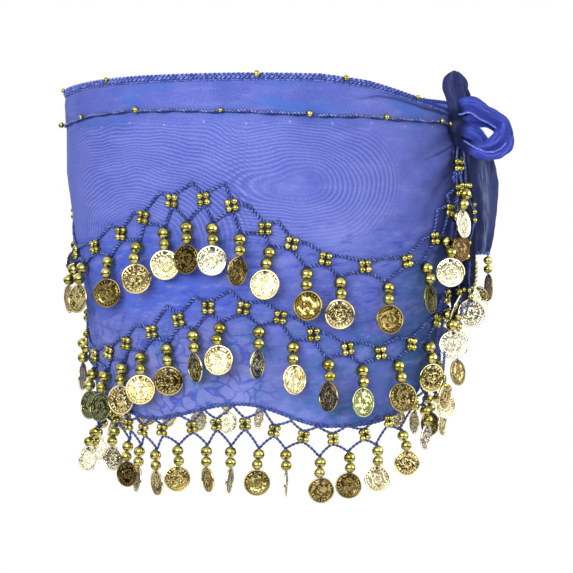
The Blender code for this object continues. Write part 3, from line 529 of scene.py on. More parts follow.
class Shape:
    """One mesh, put together from grids of points and their marks."""

    def __init__(self):
        self.points = []
        self.marks = []
        self.faces = []
        self.count = 0

    def add_points(self, points, marks):
        """Keeps the points, and gives their numbers in the shape of the grid."""
        marks = np.broadcast_to(marks, points.shape)
        self.points.append(points.reshape(-1, 3))
        self.marks.append(marks.reshape(-1, 3))
        size = points[..., 0].size
        numbers = self.count + np.arange(size).reshape(points.shape[:-1])
        self.count += size
        return numbers

    def quads(self, numbers, wrap=False, flip=False):
        """Faces between rows and columns of a batch of grids."""
        if wrap:
            numbers = np.concatenate((numbers, numbers[..., :1]), axis=-1)
        here, ahead = numbers[..., :-1], numbers[..., 1:]
        faces = np.stack(
            (here[..., :-1, :], ahead[..., :-1, :], ahead[..., 1:, :], here[..., 1:, :]), axis=-1
        ).reshape(-1, 4)
        self.faces.append(faces[:, ::-1] if flip else faces)

    def tubes(self, points, marks):
        """Closed tubes: rows run along each, columns round it, and each end is capped."""
        numbers = self.add_points(points, marks)
        self.quads(numbers, wrap=True)
        columns = numbers.shape[-1]
        self.faces.append(numbers[..., 0, ::-1].reshape(-1, columns))
        self.faces.append(numbers[..., -1, :].reshape(-1, columns))

    def wall(self, outer, inner, marks):
        """A closed wall: rows run round the hips, columns run down."""
        out = self.add_points(outer, marks)
        back = self.add_points(inner, marks)
        self.quads(out, flip=True)
        self.quads(back)
        self.quads(np.stack((out[:, 0], back[:, 0]), axis=-1))
        self.quads(np.stack((out[:, -1], back[:, -1]), axis=-1), flip=True)
        self.quads(np.stack((out[0], back[0]), axis=-1), flip=True)
        self.quads(np.stack((out[-1], back[-1]), axis=-1))

    def sweep(self, path, out, wide, sides, crest, deep=None):
        """Tubes round paths, facing out. wide is the radius along the surface, deep the one out
        of it, where that differs, and crest what the finish of a thread reads, which it paints as
        a highlight. Each is a function of the way along and the angle."""
        along = unit(np.gradient(path, axis=-2))
        side = unit(np.cross(out, along))
        front = np.cross(along, side)
        angle = TAU * np.arange(sides) / sides
        way = way_along(path)[..., None]
        across = (wide(way, angle) * np.cos(angle))[..., None] * side[..., None, :]
        depth = ((deep or wide)(way, angle) * np.sin(angle))[..., None] * front[..., None, :]
        marks = marked(way, angle, crest(way, angle))
        self.tubes(path[..., None, :] + across + depth, marks)

    def lathe(self, centre, axis, side, profile, sides, marks):
        """Turned shapes: a profile of radius and height, carried round each axis."""
        radius, height = np.array(profile).T
        front = np.cross(axis, side)
        angle = TAU * np.arange(sides) / sides
        ring = (
            np.cos(angle)[:, None] * side[..., None, :]
            + np.sin(angle)[:, None] * front[..., None, :]
        )
        points = (
            centre[..., None, None, :]
            + height[:, None, None] * axis[..., None, None, :]
            + radius[:, None, None] * ring[..., None, :, :]
        )
        self.tubes(points, marks)

    def build(self, name, material):
        """The mesh as a piece of the scarf, which is all one body."""
        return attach(self.mesh_object(name, material), "root")

    def mesh_object(self, name, material):
        """The mesh object, smooth, with its marks as the attribute that materials read."""
        points = np.concatenate(self.points) * METRES
        marks = np.concatenate(self.marks)
        corners = np.concatenate([faces.ravel() for faces in self.faces])
        sizes = np.concatenate([np.full(len(faces), faces.shape[1]) for faces in self.faces])
        mesh = bpy.data.meshes.new(name)
        mesh.vertices.add(len(points))
        mesh.vertices.foreach_set("co", points.ravel())
        mesh.loops.add(len(corners))
        mesh.loops.foreach_set("vertex_index", corners)
        mesh.polygons.add(len(sizes))
        mesh.polygons.foreach_set("loop_start", np.cumsum(sizes) - sizes)
        mesh.polygons.foreach_set("use_smooth", np.ones(len(sizes), bool))
        mesh.update(calc_edges=True)
        kept = mesh.attributes.new("mark", "FLOAT_VECTOR", "POINT")
        kept.data.foreach_set("vector", marks.ravel().astype(np.float32))
        mesh.materials.append(material)
        piece = bpy.data.objects.new(name, mesh)
        bpy.context.scene.collection.objects.link(piece)
        return piece


class Wire:
    """A socket with arithmetic: an expression on wires adds Math nodes."""

    def __init__(self, graph, socket):
        self.graph = graph
        self.socket = socket

    def maths(self, operation, *values):
        """A Math node on wires and numbers."""
        inputs = dict(enumerate(values))
        return self.graph.node("ShaderNodeMath", {"operation": operation}, inputs)

    def __add__(self, other):
        return self.maths("ADD", self, other)

    def __sub__(self, other):
        return self.maths("SUBTRACT", self, other)

    def __mul__(self, other):
        return self.maths("MULTIPLY", self, other)

    def __rsub__(self, other):
        return self.maths("SUBTRACT", other, self)

    __radd__ = __add__
    __rmul__ = __mul__

    def sin(self):
        return self.maths("SINE", self)

    def cos(self):
        return self.maths("COSINE", self)

    def root(self):
        return self.maths("SQRT", self)

    def size(self):
        return self.maths("ABSOLUTE", self)

    def least(self, other):
        return self.maths("MINIMUM", self, other)

    def most(self, other):
        return self.maths("MAXIMUM", self, other)

    def angle_from(self, other):
        return self.maths("ARCTAN2", self, other)

    def step(self, low, high):
        """0 below low and 1 above high, smooth between; the other way if low is more."""
        values = {0: self, 1: low, 2: high}
        if low > high:
            values = {0: self, 1: high, 2: low, 3: 1.0, 4: 0.0}
        kind = {"interpolation_type": "SMOOTHSTEP"}
        return self.graph.node("ShaderNodeMapRange", kind, values)

    def bell(self, middle, width):
        """1 at the middle, falling to 0 a width away on both sides."""
        return (self - middle).size().step(width, 0.0)


class Graph:
    """A node tree being wired."""

    def __init__(self, tree):
        self.tree = tree

    def node(self, kind, settings=None, values=None, output=0):
        """Adds a node: its settings first, then values or links into its sockets."""
        made = self.tree.nodes.new(kind)
        for name, value in (settings or {}).items():
            if name == "stops":
                self.set_stops(made.color_ramp, value)
            else:
                setattr(made, name, value)
        for name, value in (values or {}).items():
            if isinstance(value, Wire):
                self.tree.links.new(value.socket, made.inputs[name])
            else:
                made.inputs[name].default_value = value
        return Wire(self, made.outputs[output] if made.outputs else None)

    def set_stops(self, ramp, stops):
        """Gives a ramp its stops, each a position and a colour."""
        while len(ramp.elements) < len(stops):
            ramp.elements.new(1.0)
        for element, (position, colour) in zip(ramp.elements, stops):
            element.position = position
            element.color = tuple(colour) + (1.0,)

    def marks(self):
        """The three numbers that the mesh carries at each point."""
        mark = self.node("ShaderNodeAttribute", {"attribute_name": "mark"}, output=1)
        return [self.node("ShaderNodeSeparateXYZ", None, {0: mark}, n) for n in range(3)]

    def vector(self, x, y, z=0.0):
        """Three numbers as one vector."""
        return self.node("ShaderNodeCombineXYZ", None, {0: x, 1: y, 2: z})

    def noise(self, at, scale, detail=2.0, rough=0.5):
        """Smooth noise about 0.5, seldom near 0 or 1."""
        values = {"Vector": at, "Scale": scale, "Detail": detail, "Roughness": rough}
        return self.node("ShaderNodeTexNoise", None, values)

    def mix(self, share, first, second, how="MIX"):
        """Two colours mixed, or blended in the way that `how` names."""
        settings = {"data_type": "RGBA", "blend_type": how}
        values = {0: share, 6: self.colour(first), 7: self.colour(second)}
        return self.node("ShaderNodeMix", settings, values, 2)

    def colour(self, value):
        """A wire as it is, or a plain colour made solid."""
        return value if isinstance(value, Wire) else tuple(value)[:3] + (1.0,)

    def bump(self, height, distance, strength=1.0):
        """The normal of a relief, whose height of 1 is this distance in metres."""
        values = {"Height": height, "Distance": distance, "Strength": strength}
        return self.node("ShaderNodeBump", None, values)


class Finish(Graph):
    """A material with a Principled shader, whose base colour is laid on in coats."""

    def __init__(self, name, base):
        self.base = base
        self.material = bpy.data.materials.new(name)
        self.material.use_nodes = True
        super().__init__(self.material.node_tree)
        self.shader = self.tree.nodes["Principled BSDF"]

    def over(self, share, colour):
        """Lays a colour over the base colour so far, by this share."""
        self.base = self.mix(share, self.base, colour)

    def set(self, **values):
        """Sets or links the shader's sockets; an underscore stands for a space."""
        for name, value in dict(values, Base_Color=self.base).items():
            socket = self.shader.inputs[name.replace("_", " ")]
            if isinstance(value, Wire):
                self.tree.links.new(value.socket, socket)
            elif hasattr(value, "__len__") and len(value) == 3:
                socket.default_value = tuple(value) + (1.0,)
            else:
                socket.default_value = value
        return self.material


def weave(along, height, pitch):
    """Two crossed sets of fine threads, as a height from 0 to 1."""
    warp = (along * (TAU / pitch)).sin()
    weft = (height * (TAU / pitch)).sin()
    return (warp * weft) * 0.5 + 0.5


def fold_shadow(along, height, line):
    """The shadow in a sharp fold, by the distance from each stretch of its line."""
    shadow = None
    for (turn0, height0, dark0, width), (turn1, height1, dark1, _) in zip(line, line[1:]):
        run, fall = (turn1 - turn0) * MM_PER_TURN, height1 - height0
        x, z = along - turn0 * MM_PER_TURN, height - height0
        share = ((x * run + z * fall) * (1.0 / (run * run + fall * fall))).most(0.0).least(1.0)
        off_x, off_z = x - share * run, z - share * fall
        near = (off_x * off_x + off_z * off_z).root().step(width, 0.1)
        dark = near * (share * (dark1 - dark0) + dark0)
        shadow = shadow.most(dark) if shadow else dark
    return shadow


class Chiffon(Finish):
    """Sheer blue cloth, its colour laid on in coats over the denser dye."""

    def __init__(self, cloth):
        super().__init__("blue_chiffon", cloth.deep)
        self.cloth = cloth
        # The third mark is how much painted shade lies here, near the knot.
        self.along, self.height, self.depth = self.marks()
        self.at = self.vector(self.along, self.height)
        self.cloudy = self.noise(self.at, 0.07, 3.0, 0.6)
        self.tint = self.noise(self.at, 0.045)
        self.wisps = self.streaks(0.25, 0.0, 1.0, 0.16, 3.0, 0.62)
        # Creases of the crushed cloth: part of the relief, and painted dark and pale along it.
        self.crushed_creases = self.streaks(0.6, 0.4, 1.3, 0.13, 4.0, 0.66)
        self.crushed = self.height.step(-60.0, -92.0)
        bent = self.noise(self.at, 0.03, 1.0) * 12.0 + self.noise(self.at, 0.2, 1.0) * 1.2
        rings = sum(self.ring_set(self.height + bent, *numbers) for numbers in RINGS)
        self.rings = rings * self.height.step(-104.0, -74.0) * self.height.step(-8.0, -20.0)

    def streaks(self, wide, slant, tall, scale, detail, rough=0.5):
        """Noise drawn out: a small share of the way along or of the height makes it longer."""
        x = self.along * wide + self.height * slant
        return self.noise(self.vector(x, self.height * tall), scale, detail, rough)

    def ring_set(self, height, turn, level, reach, spacing, stretch, trail, low, high):
        """Rings of two sheer layers round a centre, from -1 to 1, fading at the reach. They
        trail off to the left, drawn out by the trail."""
        x = (self.along - turn * MM_PER_TURN) * (1.0 / stretch)
        x = x.least(x * trail)
        z = height - level
        distance = (x * x + z * z).root()
        faded = distance.step(reach, reach * 0.78) * distance.step(reach * 0.04, reach * 0.3)
        return (distance * (TAU / spacing)).sin() * faded * self.along.step(low, high)

    def cells(self, feature, at, scale):
        """Flat cells, by the distance to their edges or to their middles."""
        settings = {"feature": feature, "voronoi_dimensions": "2D"}
        return self.node("ShaderNodeTexVoronoi", settings, {"Vector": at, "Scale": scale})

    def torn(self):
        """A place on the cloth, shifted by smooth noise, so that cells drawn there look torn."""
        first = self.noise(self.at, 0.06, 1.0) - 0.5
        second = self.noise(self.vector(self.height, self.along), 0.06, 1.0) - 0.5
        return self.vector(self.along + first * 26.0, self.height + second * 26.0)

    def dye(self):
        """Clouds, wisps and lines of paler and denser dye, and the rings of the two layers."""
        cloth = self.cloth
        broad = self.noise(self.at, 0.021, 3.0, 0.55)
        lines = self.streaks(1.3, 0.0, 0.08, 0.6, 2.0)
        grain = self.streaks(1.0, 0.0, 1.6, 0.95, 3.0, 0.7)
        self.over(broad.step(0.3, 0.72), cloth.colour)
        self.over(self.cloudy.step(0.45, 0.75) * 0.28, cloth.light)
        self.over(self.wisps.step(0.48, 0.7) * 0.42, cloth.light)
        self.over(lines.step(0.5, 0.8) * 0.25, cloth.deep)
        self.over(self.rings.most(0.0) * 0.78, cloth.light)
        self.over((self.rings * -1.0).most(0.0) * 0.55, cloth.deep)
        self.over(grain.step(0.62, 0.36) * 0.5, cloth.deep)
        self.over(grain.step(0.5, 0.72) * 0.4, cloth.light)

    def washes(self):
        """A painted highlight in front, cool washes in the waistband, richer dye between the nets,
        and painted shade and highlights along the creases of the crushed cloth."""
        cloth, along, height = self.cloth, self.along, self.height
        # Painted highlight: a broad pale patch in front, where a fold catches the light.
        self.over(along.bell(92.0, 40.0) * height.bell(-84.0, 28.0) * 0.5, cloth.light)
        wash = self.streaks(0.5, 0.0, 1.0, 0.055, 2.0)
        self.over(wash.step(0.5, 0.66) * height.step(-22.0, -4.0) * 0.55, cloth.cool)
        between = height.step(-66.0, -98.0) * height.step(-140.0, -118.0)
        self.over(between * (along.step(120.0, 175.0) * 0.5 + 0.15), cloth.rich)
        # Painted shade in the creases of the crushed cloth, and painted highlights on their
        # crests.
        self.over(self.crushed_creases.step(0.47, 0.36) * self.crushed * 0.8, cloth.crack)
        self.over(self.crushed_creases.step(0.55, 0.68) * self.crushed * 0.55, cloth.light)

    def printed(self):
        """The print low down: lilac and teal grounds and torn crackle, and painted glints."""
        cloth, along, height = self.cloth, self.along, self.height
        ground = height.step(-120.0, -165.0) * (along.step(108.0, 150.0) * 0.6 + 0.4)
        self.over(ground * 0.5, cloth.lilac)
        low = height.step(-118.0, -150.0) * (0.35 + self.cloudy).step(0.72, 0.95)
        self.over(low * self.tint.step(0.48, 0.62) * 0.7, cloth.teal)
        aside = along.step(74.0, 30.0) * height.step(-84.0, -104.0)
        self.over(aside * 0.5, cloth.teal)
        front = along.step(150.0, 100.0) * height.step(-122.0, -140.0)
        self.over(front * 0.2, cloth.rich)
        self.over(front * self.cloudy.step(0.44, 0.62) * 0.5, cloth.teal)
        cracks = self.cells("DISTANCE_TO_EDGE", self.torn(), 0.115).step(0.14, 0.03)
        cracks = cracks * height.step(-122.0, -146.0) * self.tint.step(0.34, 0.5)
        self.over(cracks * along.step(112.0, 142.0) * 0.8, cloth.crack)
        # Painted glints: small bright specks on the print, standing for light caught there.
        painted_glints = self.cells("F1", self.at, 0.36).step(0.14, 0.05)
        painted_glints = painted_glints * height.step(-112.0, -140.0) * self.tint.step(0.55, 0.7)
        self.over(painted_glints * 0.8, cloth.painted_glint)

    def folds(self):
        """Small stars along the seam, painted shadow in the folds and near the knot, and painted
        highlights on crests low down.
        """
        cloth, along, height = self.cloth, self.along, self.height
        star = (along * (np.pi / STAR_PITCH) + 1.32).sin().size().step(0.11, 0.03)
        star = star * (height + self.tint * 8.0).bell(-11.0, 0.8)
        self.over(star * 0.4, STAR_BLUE)
        # Painted shadow: the shade mark near the knot and the lines of the sharp folds, in a
        # darker blue.
        shadow = self.depth
        for line in FOLD_LINES:
            shadow = shadow.most(fold_shadow(along, height, line))
        self.over(shadow, self.mix(height.step(-70.0, -110.0), cloth.shade, cloth.shade_low))
        # Painted highlights on the crests of wrinkles low down.
        folded = self.streaks(0.5, 0.4, 1.0, 0.11, 3.0, 0.55)
        self.over(folded.step(0.5, 0.66) * height.step(-60.0, -96.0) * 0.4, cloth.light)

    def relief(self):
        """Height of the weave, the clouds, the rings, the wrinkles and the creases of the crushed
        cloth.
        """
        threads = weave(self.along, self.height, 1.1)
        wrinkle = self.streaks(0.3, 0.0, 1.0, 0.34, 3.0, 0.6) * self.height.step(-52.0, -88.0)
        relief = threads * 0.22 + self.cloudy * 0.9 + self.rings * 0.15
        return relief + wrinkle * 3.2 + self.wisps * 0.8 + self.crushed_creases * self.crushed * 2.4


def chiffon_finish(cloth):
    """Sheer blue cloth: weave, interference rings, uneven dye, a crackled print low down, and
    painted shade and highlights.
    """
    finish = Chiffon(cloth)
    finish.dye()
    finish.washes()
    finish.printed()
    finish.folds()
    return finish.set(
        Roughness=0.78,
        Sheen_Weight=0.1,
        Sheen_Tint=cloth.light,
        Sheen_Roughness=0.45,
        Specular_IOR_Level=0.1,
        Normal=finish.bump(finish.relief(), 0.0006, 0.75),
    )


def tied_finish(name, colour, light, dark, reach):
    """Gathered chiffon: fine lengthwise pleats, with paler, smoother crests: painted highlights on
    folds that face the front, over painted shade in the hollows. Painted shadow darkens it over
    its first millimetres, where it leaves the knot."""
    finish = Finish(name, colour)
    along, around, crest = finish.marks()
    fine = finish.noise(finish.vector(along * 0.16, around * 9.0, around), 1.0, 3.0, 0.6)
    patch = finish.noise(finish.vector(along * 0.6, around), 0.17)
    broken = finish.noise(finish.vector(along * 0.09, around * 1.4), 1.0)
    # Painted highlights on the crests of folds that face the front.
    finish.over(crest.step(0.2, 1.0) * broken.step(0.38, 0.62), light)
    # Painted highlights on the fine pleats of the relief.
    finish.over(fine.step(0.4, 0.75) * 0.35, light)
    finish.over(patch.step(0.5, 0.68) * 0.4, colour)
    # Painted shadow where the cloth leaves the knot.
    finish.over(along.step(reach, 0.5 * reach) * 0.92, dark)
    relief = fine * 0.9 + weave(along, around * 6.0, 0.7) * 0.2
    return finish.set(
        Roughness=0.6,
        Sheen_Weight=0.12,
        Sheen_Tint=light,
        Sheen_Roughness=0.4,
        Specular_IOR_Level=0.16,
        Normal=finish.bump(relief, 0.0005, 0.7),
    )


def crochet_finish(name, dark, light):
    """Twisted cotton, with short bright stitches: painted highlights on the crest of each ply
    where it faces out, and painted shade in the grooves and behind.
    """
    finish = Finish(name, dark)
    along, around, crest = finish.marks()
    fleck = finish.noise(finish.vector(along, around * 0.6), 0.55, 1.0).step(0.4, 0.62)
    # Painted highlight on the crests that face out, broken by the paler stitches; the dark colour
    # is painted shade.
    finish.over(crest.step(0.15, 1.0) * (0.25 + 0.75 * fleck), light)
    fibre = finish.noise(finish.vector(along * 2.0, around * 3.0), 1.3)
    return finish.set(
        Roughness=0.82,
        Sheen_Weight=0.08,
        Sheen_Tint=light,
        Specular_IOR_Level=0.12,
        Normal=finish.bump(fibre, 0.0003, 0.5),
    )


def bead_finish(trim):
    """Plated gold beads, a little uneven in tone and polish."""
    finish = Finish("gold_bead", trim.gold_deep)
    patch = finish.noise(finish.node("ShaderNodeTexCoord", output=3), 260.0)
    finish.over(patch.step(0.35, 0.7), trim.gold)
    return finish.set(
        Metallic=1.0,
        Roughness=0.12 + patch * 0.12,
        Normal=finish.bump(patch, 0.0002, 0.3),
    )


def stamping(finish, x, y, tone):
    """Height of a coin's stamping: a ring of dots, a rosette, broken arcs, rim and lumps. The
    tone turns them, so that no two coins are the same."""
    radius = (x * x + y * y).root()
    angle = y.angle_from(x)
    spin = tone * 37.0
    dots = (angle * 21.0).cos().step(-0.2, 0.5) * radius.bell(0.76, 0.1)
    petals = (angle * 2.5 + spin).cos().size() * 0.17
    rosette = (radius - petals).bell(0.16, 0.09)
    bent = radius * 12.5 + (angle * 2.0 + spin).sin() * 2.4 + (x * 4.0 + spin).sin()
    arcs = bent.sin().step(-0.1, 0.6)
    arcs = arcs * (angle * 2.0 + spin * 1.7 + radius * 4.0).sin().step(-0.7, -0.1)
    arcs = arcs * radius.bell(0.45, 0.26).step(0.0, 0.3)
    grain = finish.noise(finish.vector(x, y, tone * 9.0), 3.4, 1.5)
    lumps = grain.step(0.5, 0.58) * radius.step(0.84, 0.7) * 0.8
    return dots.most(rosette).most(arcs).most(radius.step(0.86, 0.93)).most(lumps)


def coin_finish(trim):
    """Stamped metal, dark in the hollows. The tone runs from old plating to bare metal."""
    stops = (
        (0.0, trim.brown), (0.12, trim.bronze), (0.3, trim.brass), (0.4, trim.olive),
        (0.5, trim.green), (0.65, trim.bright_gold), (0.82, trim.pale), (1.0, trim.silver),
    )
    finish = Finish("stamped_coin", trim.brown)
    x, y, tone = finish.marks()
    relief = stamping(finish, x, y, tone)
    metal = finish.node("ShaderNodeValToRGB", {"stops": stops}, {0: tone})
    cloud = finish.noise(finish.vector(x, y, tone * 17.0), 0.9)
    worn = (relief + cloud * 1.1 + tone.step(0.7, 1.0) * 0.3 - 0.45).step(-0.1, 0.95)
    hole = (x * x + (y - 0.8) * (y - 0.8)).root().step(0.13, 0.09)
    finish.base = finish.mix(1.0, metal, trim.tarnish, "MULTIPLY")
    finish.over(tone.step(0.6, 1.0) * 0.6, trim.green)
    finish.over(worn, metal)
    # Painted shade in the coin's hole.
    finish.over(hole, HOLE_SHADE)
    stamped = relief * (0.8 - tone.step(0.7, 0.95) * 0.4)
    tilt = x * (tone * 91.0).sin() * 0.3 + y * (0.65 - tone.step(0.7, 0.97) * 0.7)
    return finish.set(
        Metallic=1.0 - hole,
        Roughness=0.2 - 0.1 * relief,
        Normal=finish.bump(stamped - hole + tilt, 0.0005),
    )


def hidden_turns(pitches, last):
    """Turns of the flowers behind: stepped by the pitches, past the last one in front."""
    turns = [pitches[0][0]]
    while turns[-1] + read(pitches, turns[-1]) < ROW_END:
        turns.append(turns[-1] + read(pitches, turns[-1]))
    return np.array([turn for turn in turns if turn > last + HIDDEN_START * read(pitches, last)])


class Row:
    """One net: the places of its flowers, peaks and pendants, from its front table and, behind,
    from its wave and pitches. Its coins hang at least `clear` off the cloth, and `top` gives
    the line that its upper chain is sewn to, if there is one."""

    def __init__(self, front, rows, sweep, pitches, yaws, tones, clear, scale=1.0, top=None):
        front = np.array(front)
        self.scale = scale
        self.reach = FLOWER_HALF * scale + CHAIN_WIDTH / 2
        turns = hidden_turns(pitches, front[-1, 0])
        heights = wave(rows, turns, sweep)
        middle = (turns[1:] + turns[:-1]) / 2
        level = (heights[1:] + heights[:-1]) / 2
        half_pitch = np.diff(turns) / 2 * MM_PER_TURN
        peak, low = self.hidden_chains(level, half_pitch, top and top(middle))
        pendants = self.hidden_pendants(middle, yaws, tones, clear)
        behind = np.stack((middle, peak, middle, low) + pendants, axis=-1)
        table = np.concatenate((front[:, 2:], behind))
        self.turn = np.concatenate((front[:, 0], turns))
        self.height = np.concatenate((front[:, 1], heights))
        self.peak_turn, self.peak, self.foot_turn, self.low, self.swing = table[:, :5].T
        self.sway, self.tone = table[:, 5], table[:, 7]
        self.yaw = np.radians(table[:, 6])
        self.foot = self.on_net(self.foot_turn, self.low, NET_OUT + NET_WALL)
        self.away = outward(self.foot_turn, self.low)
        self.across = np.cross(UP, self.away)

    def hidden_chains(self, level, half_pitch, sewn_to):
        """Height of each peak and each V behind, the peaks over the line that they are sewn to,
        if any. Every loop of a chain is as long as the next, so that two flowers closer together
        have a taller one."""
        rise = np.sqrt(np.maximum(UPPER_CHAIN_HALF**2 - half_pitch**2, 0.0))
        dip = np.sqrt(np.maximum((LOWER_CHAIN_HALF * self.scale) ** 2 - half_pitch**2, 0.0))
        free = level + self.reach + rise + FLATTEST_PEAK
        peak = free if sewn_to is None else sewn_to + HEM_LAP
        return peak, level - self.reach - np.maximum(dip, SHALLOWEST_V)

    def hidden_pendants(self, turn, yaws, tones, clear):
        """How far each pendant behind hangs out and aside, and its coin's turn and tone. Coins
        at the sides turn less, and each hangs far enough out to clear the cloth."""
        count = np.arange(len(turn))
        aside = np.minimum(np.abs(turn - LEFT_SIDE), np.abs(turn - RIGHT_SIDE))
        yaw = np.array(yaws)[count % len(yaws)]
        yaw = yaw * (1.0 - 0.85 * np.exp(-((aside / SIDE_SPREAD) ** 2)))
        reach = np.maximum(BEAD_RADIUS, COIN_RADIUS * np.abs(np.sin(np.radians(yaw))))
        swing = (reach + clear + STAGGER * (count % 2)) * self.scale
        return swing, SWAY * np.sin(2.3 * count), yaw, np.array(tones)[count % len(tones)]

    def on_net(self, turn, height, out):
        """A place on the net, which the knot lifts away from the cloth beside it."""
        from_knot = np.minimum(np.abs(turn), np.abs(turn - TURNS_ROUND))
        near_top = np.clip((height - KNOT_LIFT_FOOT) / 30.0, 0.0, 1.0)
        lift = KNOT_LIFT * near_top * np.exp(-((from_knot / KNOT_SPREAD) ** 2))
        return place(turn, height, out + lift)

    def line(self, ends, middle_turns, middles, bow, steps):
        """A chain's turns and heights: straight between the ends and middles, and bowed."""
        share = np.arange(steps) / steps
        turn = np.empty(2 * len(middles) + 1)
        height = np.empty_like(turn)
        turn[0::2], turn[1::2] = self.turn, middle_turns
        height[0::2], height[1::2] = ends, middles
        along = turn[:-1, None] + np.diff(turn)[:, None] * share
        level = height[:-1, None] + np.diff(height)[:, None] * share
        level = level + bow * np.sin(np.pi * share)
        along = rounded(np.append(along.ravel(), turn[-1]), 2)
        level = rounded(np.append(level.ravel(), height[-1]), 2)
        return evenly(along, level)

    def hung(self, drop, share):
        """Points on each pendant's string, this share of its swing and sway out."""
        out = self.away * (self.swing * share)[:, None]
        aside = self.across * (self.sway * share**2)[:, None]
        return self.foot + out + aside - UP * drop * self.scale


def evenly(turn, height):
    """The same line on the cloth, with its points an even step apart."""
    steps = np.hypot(np.diff(turn) * MM_PER_TURN, np.diff(height))
    way = np.concatenate(((0.0,), np.cumsum(steps)))
    at = np.linspace(0.0, way[-1], int(way[-1] / CORD_STEP))
    return np.interp(at, way, turn), np.interp(at, way, height)


ROWS = {
    "upper": Row(UPPER_FRONT, UPPER_WAVE, 3.0, UPPER_PITCH, UPPER_YAWS, TONES, 0.4),
    "middle": Row(MIDDLE_FRONT, MIDDLE_WAVE, 3.0, MIDDLE_PITCH, MIDDLE_YAWS, TONES, 0.6),
    "hem": Row(
        LOWER_FRONT, LOWER_WAVE, 2.0, LOWER_PITCH, LOWER_YAWS, LOWER_TONES, 0.4, LOWER_SCALE,
        hem_height,
    ),
}


def steady(value):
    """The same value all round a tube."""
    return lambda way, angle: value + 0.0 * way * angle


def plies(pitch):
    """Crests of a two-ply cord, which turns once in each two pitches of its way: high on the tops
    of the plies, painted highlight, and low in the grooves, painted shade.
    """
    return lambda way, angle: np.abs(np.cos(angle - np.pi * way / pitch))


def corded(radius, pitch):
    """Radius of a two-ply cord."""
    crest = plies(pitch)
    return lambda way, angle: radius * (1.0 - PLY_LOBE + PLY_LOBE * crest(way, angle))


def whipped(radius, rise, pitch):
    """Radius of an edge with a thread wound round it, once in each pitch."""
    return lambda way, angle: radius + rise * np.cos(TAU * way / pitch + angle)


def slants(pitch):
    """Crests of a braid: its stitches cross as slanted bars, painted pale as highlights."""
    return lambda way, angle: 0.5 + 0.5 * np.cos(TAU * way / pitch + 2.0 * angle)


def lay(shape, path, away, pitch, starts, strand):
    """Strands laid round a path. From its turn at each point, strand gives how far it runs
    aside and out, its radius, and its crest, which says how far it faces out."""
    side = unit(np.cross(away, unit(np.gradient(path, axis=0))))
    for start in starts:
        turned = TAU * way_along(path) / pitch + start
        aside, out, radius, crest = strand(turned[:, None])
        shape.sweep(path + aside * side + out * away, away, steady(radius), 5, steady(crest))


def plait(shape, path, away, radius, reach, pitch, share):
    """Three strands plaited flat: each crosses from side to side, and rises and dips twice as
    often. `share` narrows the plait along its way, and dims its crests: painted shade near the
    knot."""
    share = share[:, None]

    def strand(turned):
        facing = np.sin(2.0 * turned)
        # Crests dimmed by the share: painted shade near the knot.
        crest = (0.5 + 0.5 * facing) * share
        return reach * share * np.sin(turned), 0.75 * radius * facing, radius * share**0.5, crest

    lay(shape, path, away, pitch, TAU * np.arange(3) / 3, strand)


def twine(shape, path, away, radius, spread, pitch):
    """Two strands twisted loosely round a path."""

    def strand(turned):
        facing = np.sin(turned)
        # The crest is high where a strand lies on top: painted highlight there, and painted shade
        # where it dips behind.
        return spread * np.cos(turned), 0.6 * spread * facing, radius, 0.5 + 0.5 * facing

    lay(shape, path, away, pitch, (0.0, np.pi), strand)


def ball(shape, centre, radius, sides=12):
    """Round beads with a small flat at each end of the hole, threaded upright."""
    centre = np.atleast_2d(centre)
    up = np.broadcast_to(UP, centre.shape)
    side = np.broadcast_to((1.0, 0.0, 0.0), centre.shape)
    shape.lathe(centre, up, side, np.array(BALL_PROFILE) * radius, sides, 0.0)


def cloth_grid(count, rows, foot):
    """Turn and height of each point of a cloth, and each row's share of the way down: even rows
    from the top edge to a foot, whose height is given from each column and its drawn place."""
    columns = np.linspace(PANEL_START, PANEL_END, count)
    drawn = drawn_turn(columns, KNOT_HEIGHT)
    top = read(BAND_LINES, drawn, 1)[:, None]
    share = np.linspace(0.0, 1.0, rows)
    height = top + (foot(columns, drawn)[:, None] - top) * share
    return drawn_turn(columns[:, None], height), height, share


def panel_shape(cloth):
    """The main cloth, drawn in at the knot. It stands off the hip form by its fine creases, by a
    soft ripple under the waistband, and low down by the size of a longer ripple, which makes
    pinched ridges."""
    turn, height, _ = cloth_grid(cloth.columns, cloth.rows, lambda columns, _: hem_height(columns))
    along = turn * MM_PER_TURN
    below = np.clip((-20.0 - height) / 30.0, 0.0, 1.0)
    low = np.clip((-78.0 - height) / 50.0, 0.0, 1.0)
    rise = crease_rise(FINE_CREASES, turn, height)
    rise = rise + below * 0.10 * ripple(3, along, height, 7, 9.0, 26.0)
    rise = rise + low * 0.32 * np.abs(ripple(5, along * 0.7, height * 1.3, 6, 9.0, 28.0))
    rise = rise - low * 0.2
    wall = cloth.wall * MM
    shape = Shape()
    # The third mark: painted shade near the knot.
    marks = marked(along, height, knot_shade(turn, height))
    shape.wall(place(turn, height, rise), place(turn, height, rise - wall), marks)
    return shape


def knot_shade(turn, height):
    """How much painted shade lies on the cloth: near the knot, where many layers meet."""
    from_knot = np.maximum(np.minimum(turn, SHADE_ROUND - turn), 0.0)
    gather = 0.97 * np.exp(-((from_knot / SHADE_SPREAD) ** 1.7))
    return gather * np.clip((6.0 - height) / 14.0, 0.35, 1.0)


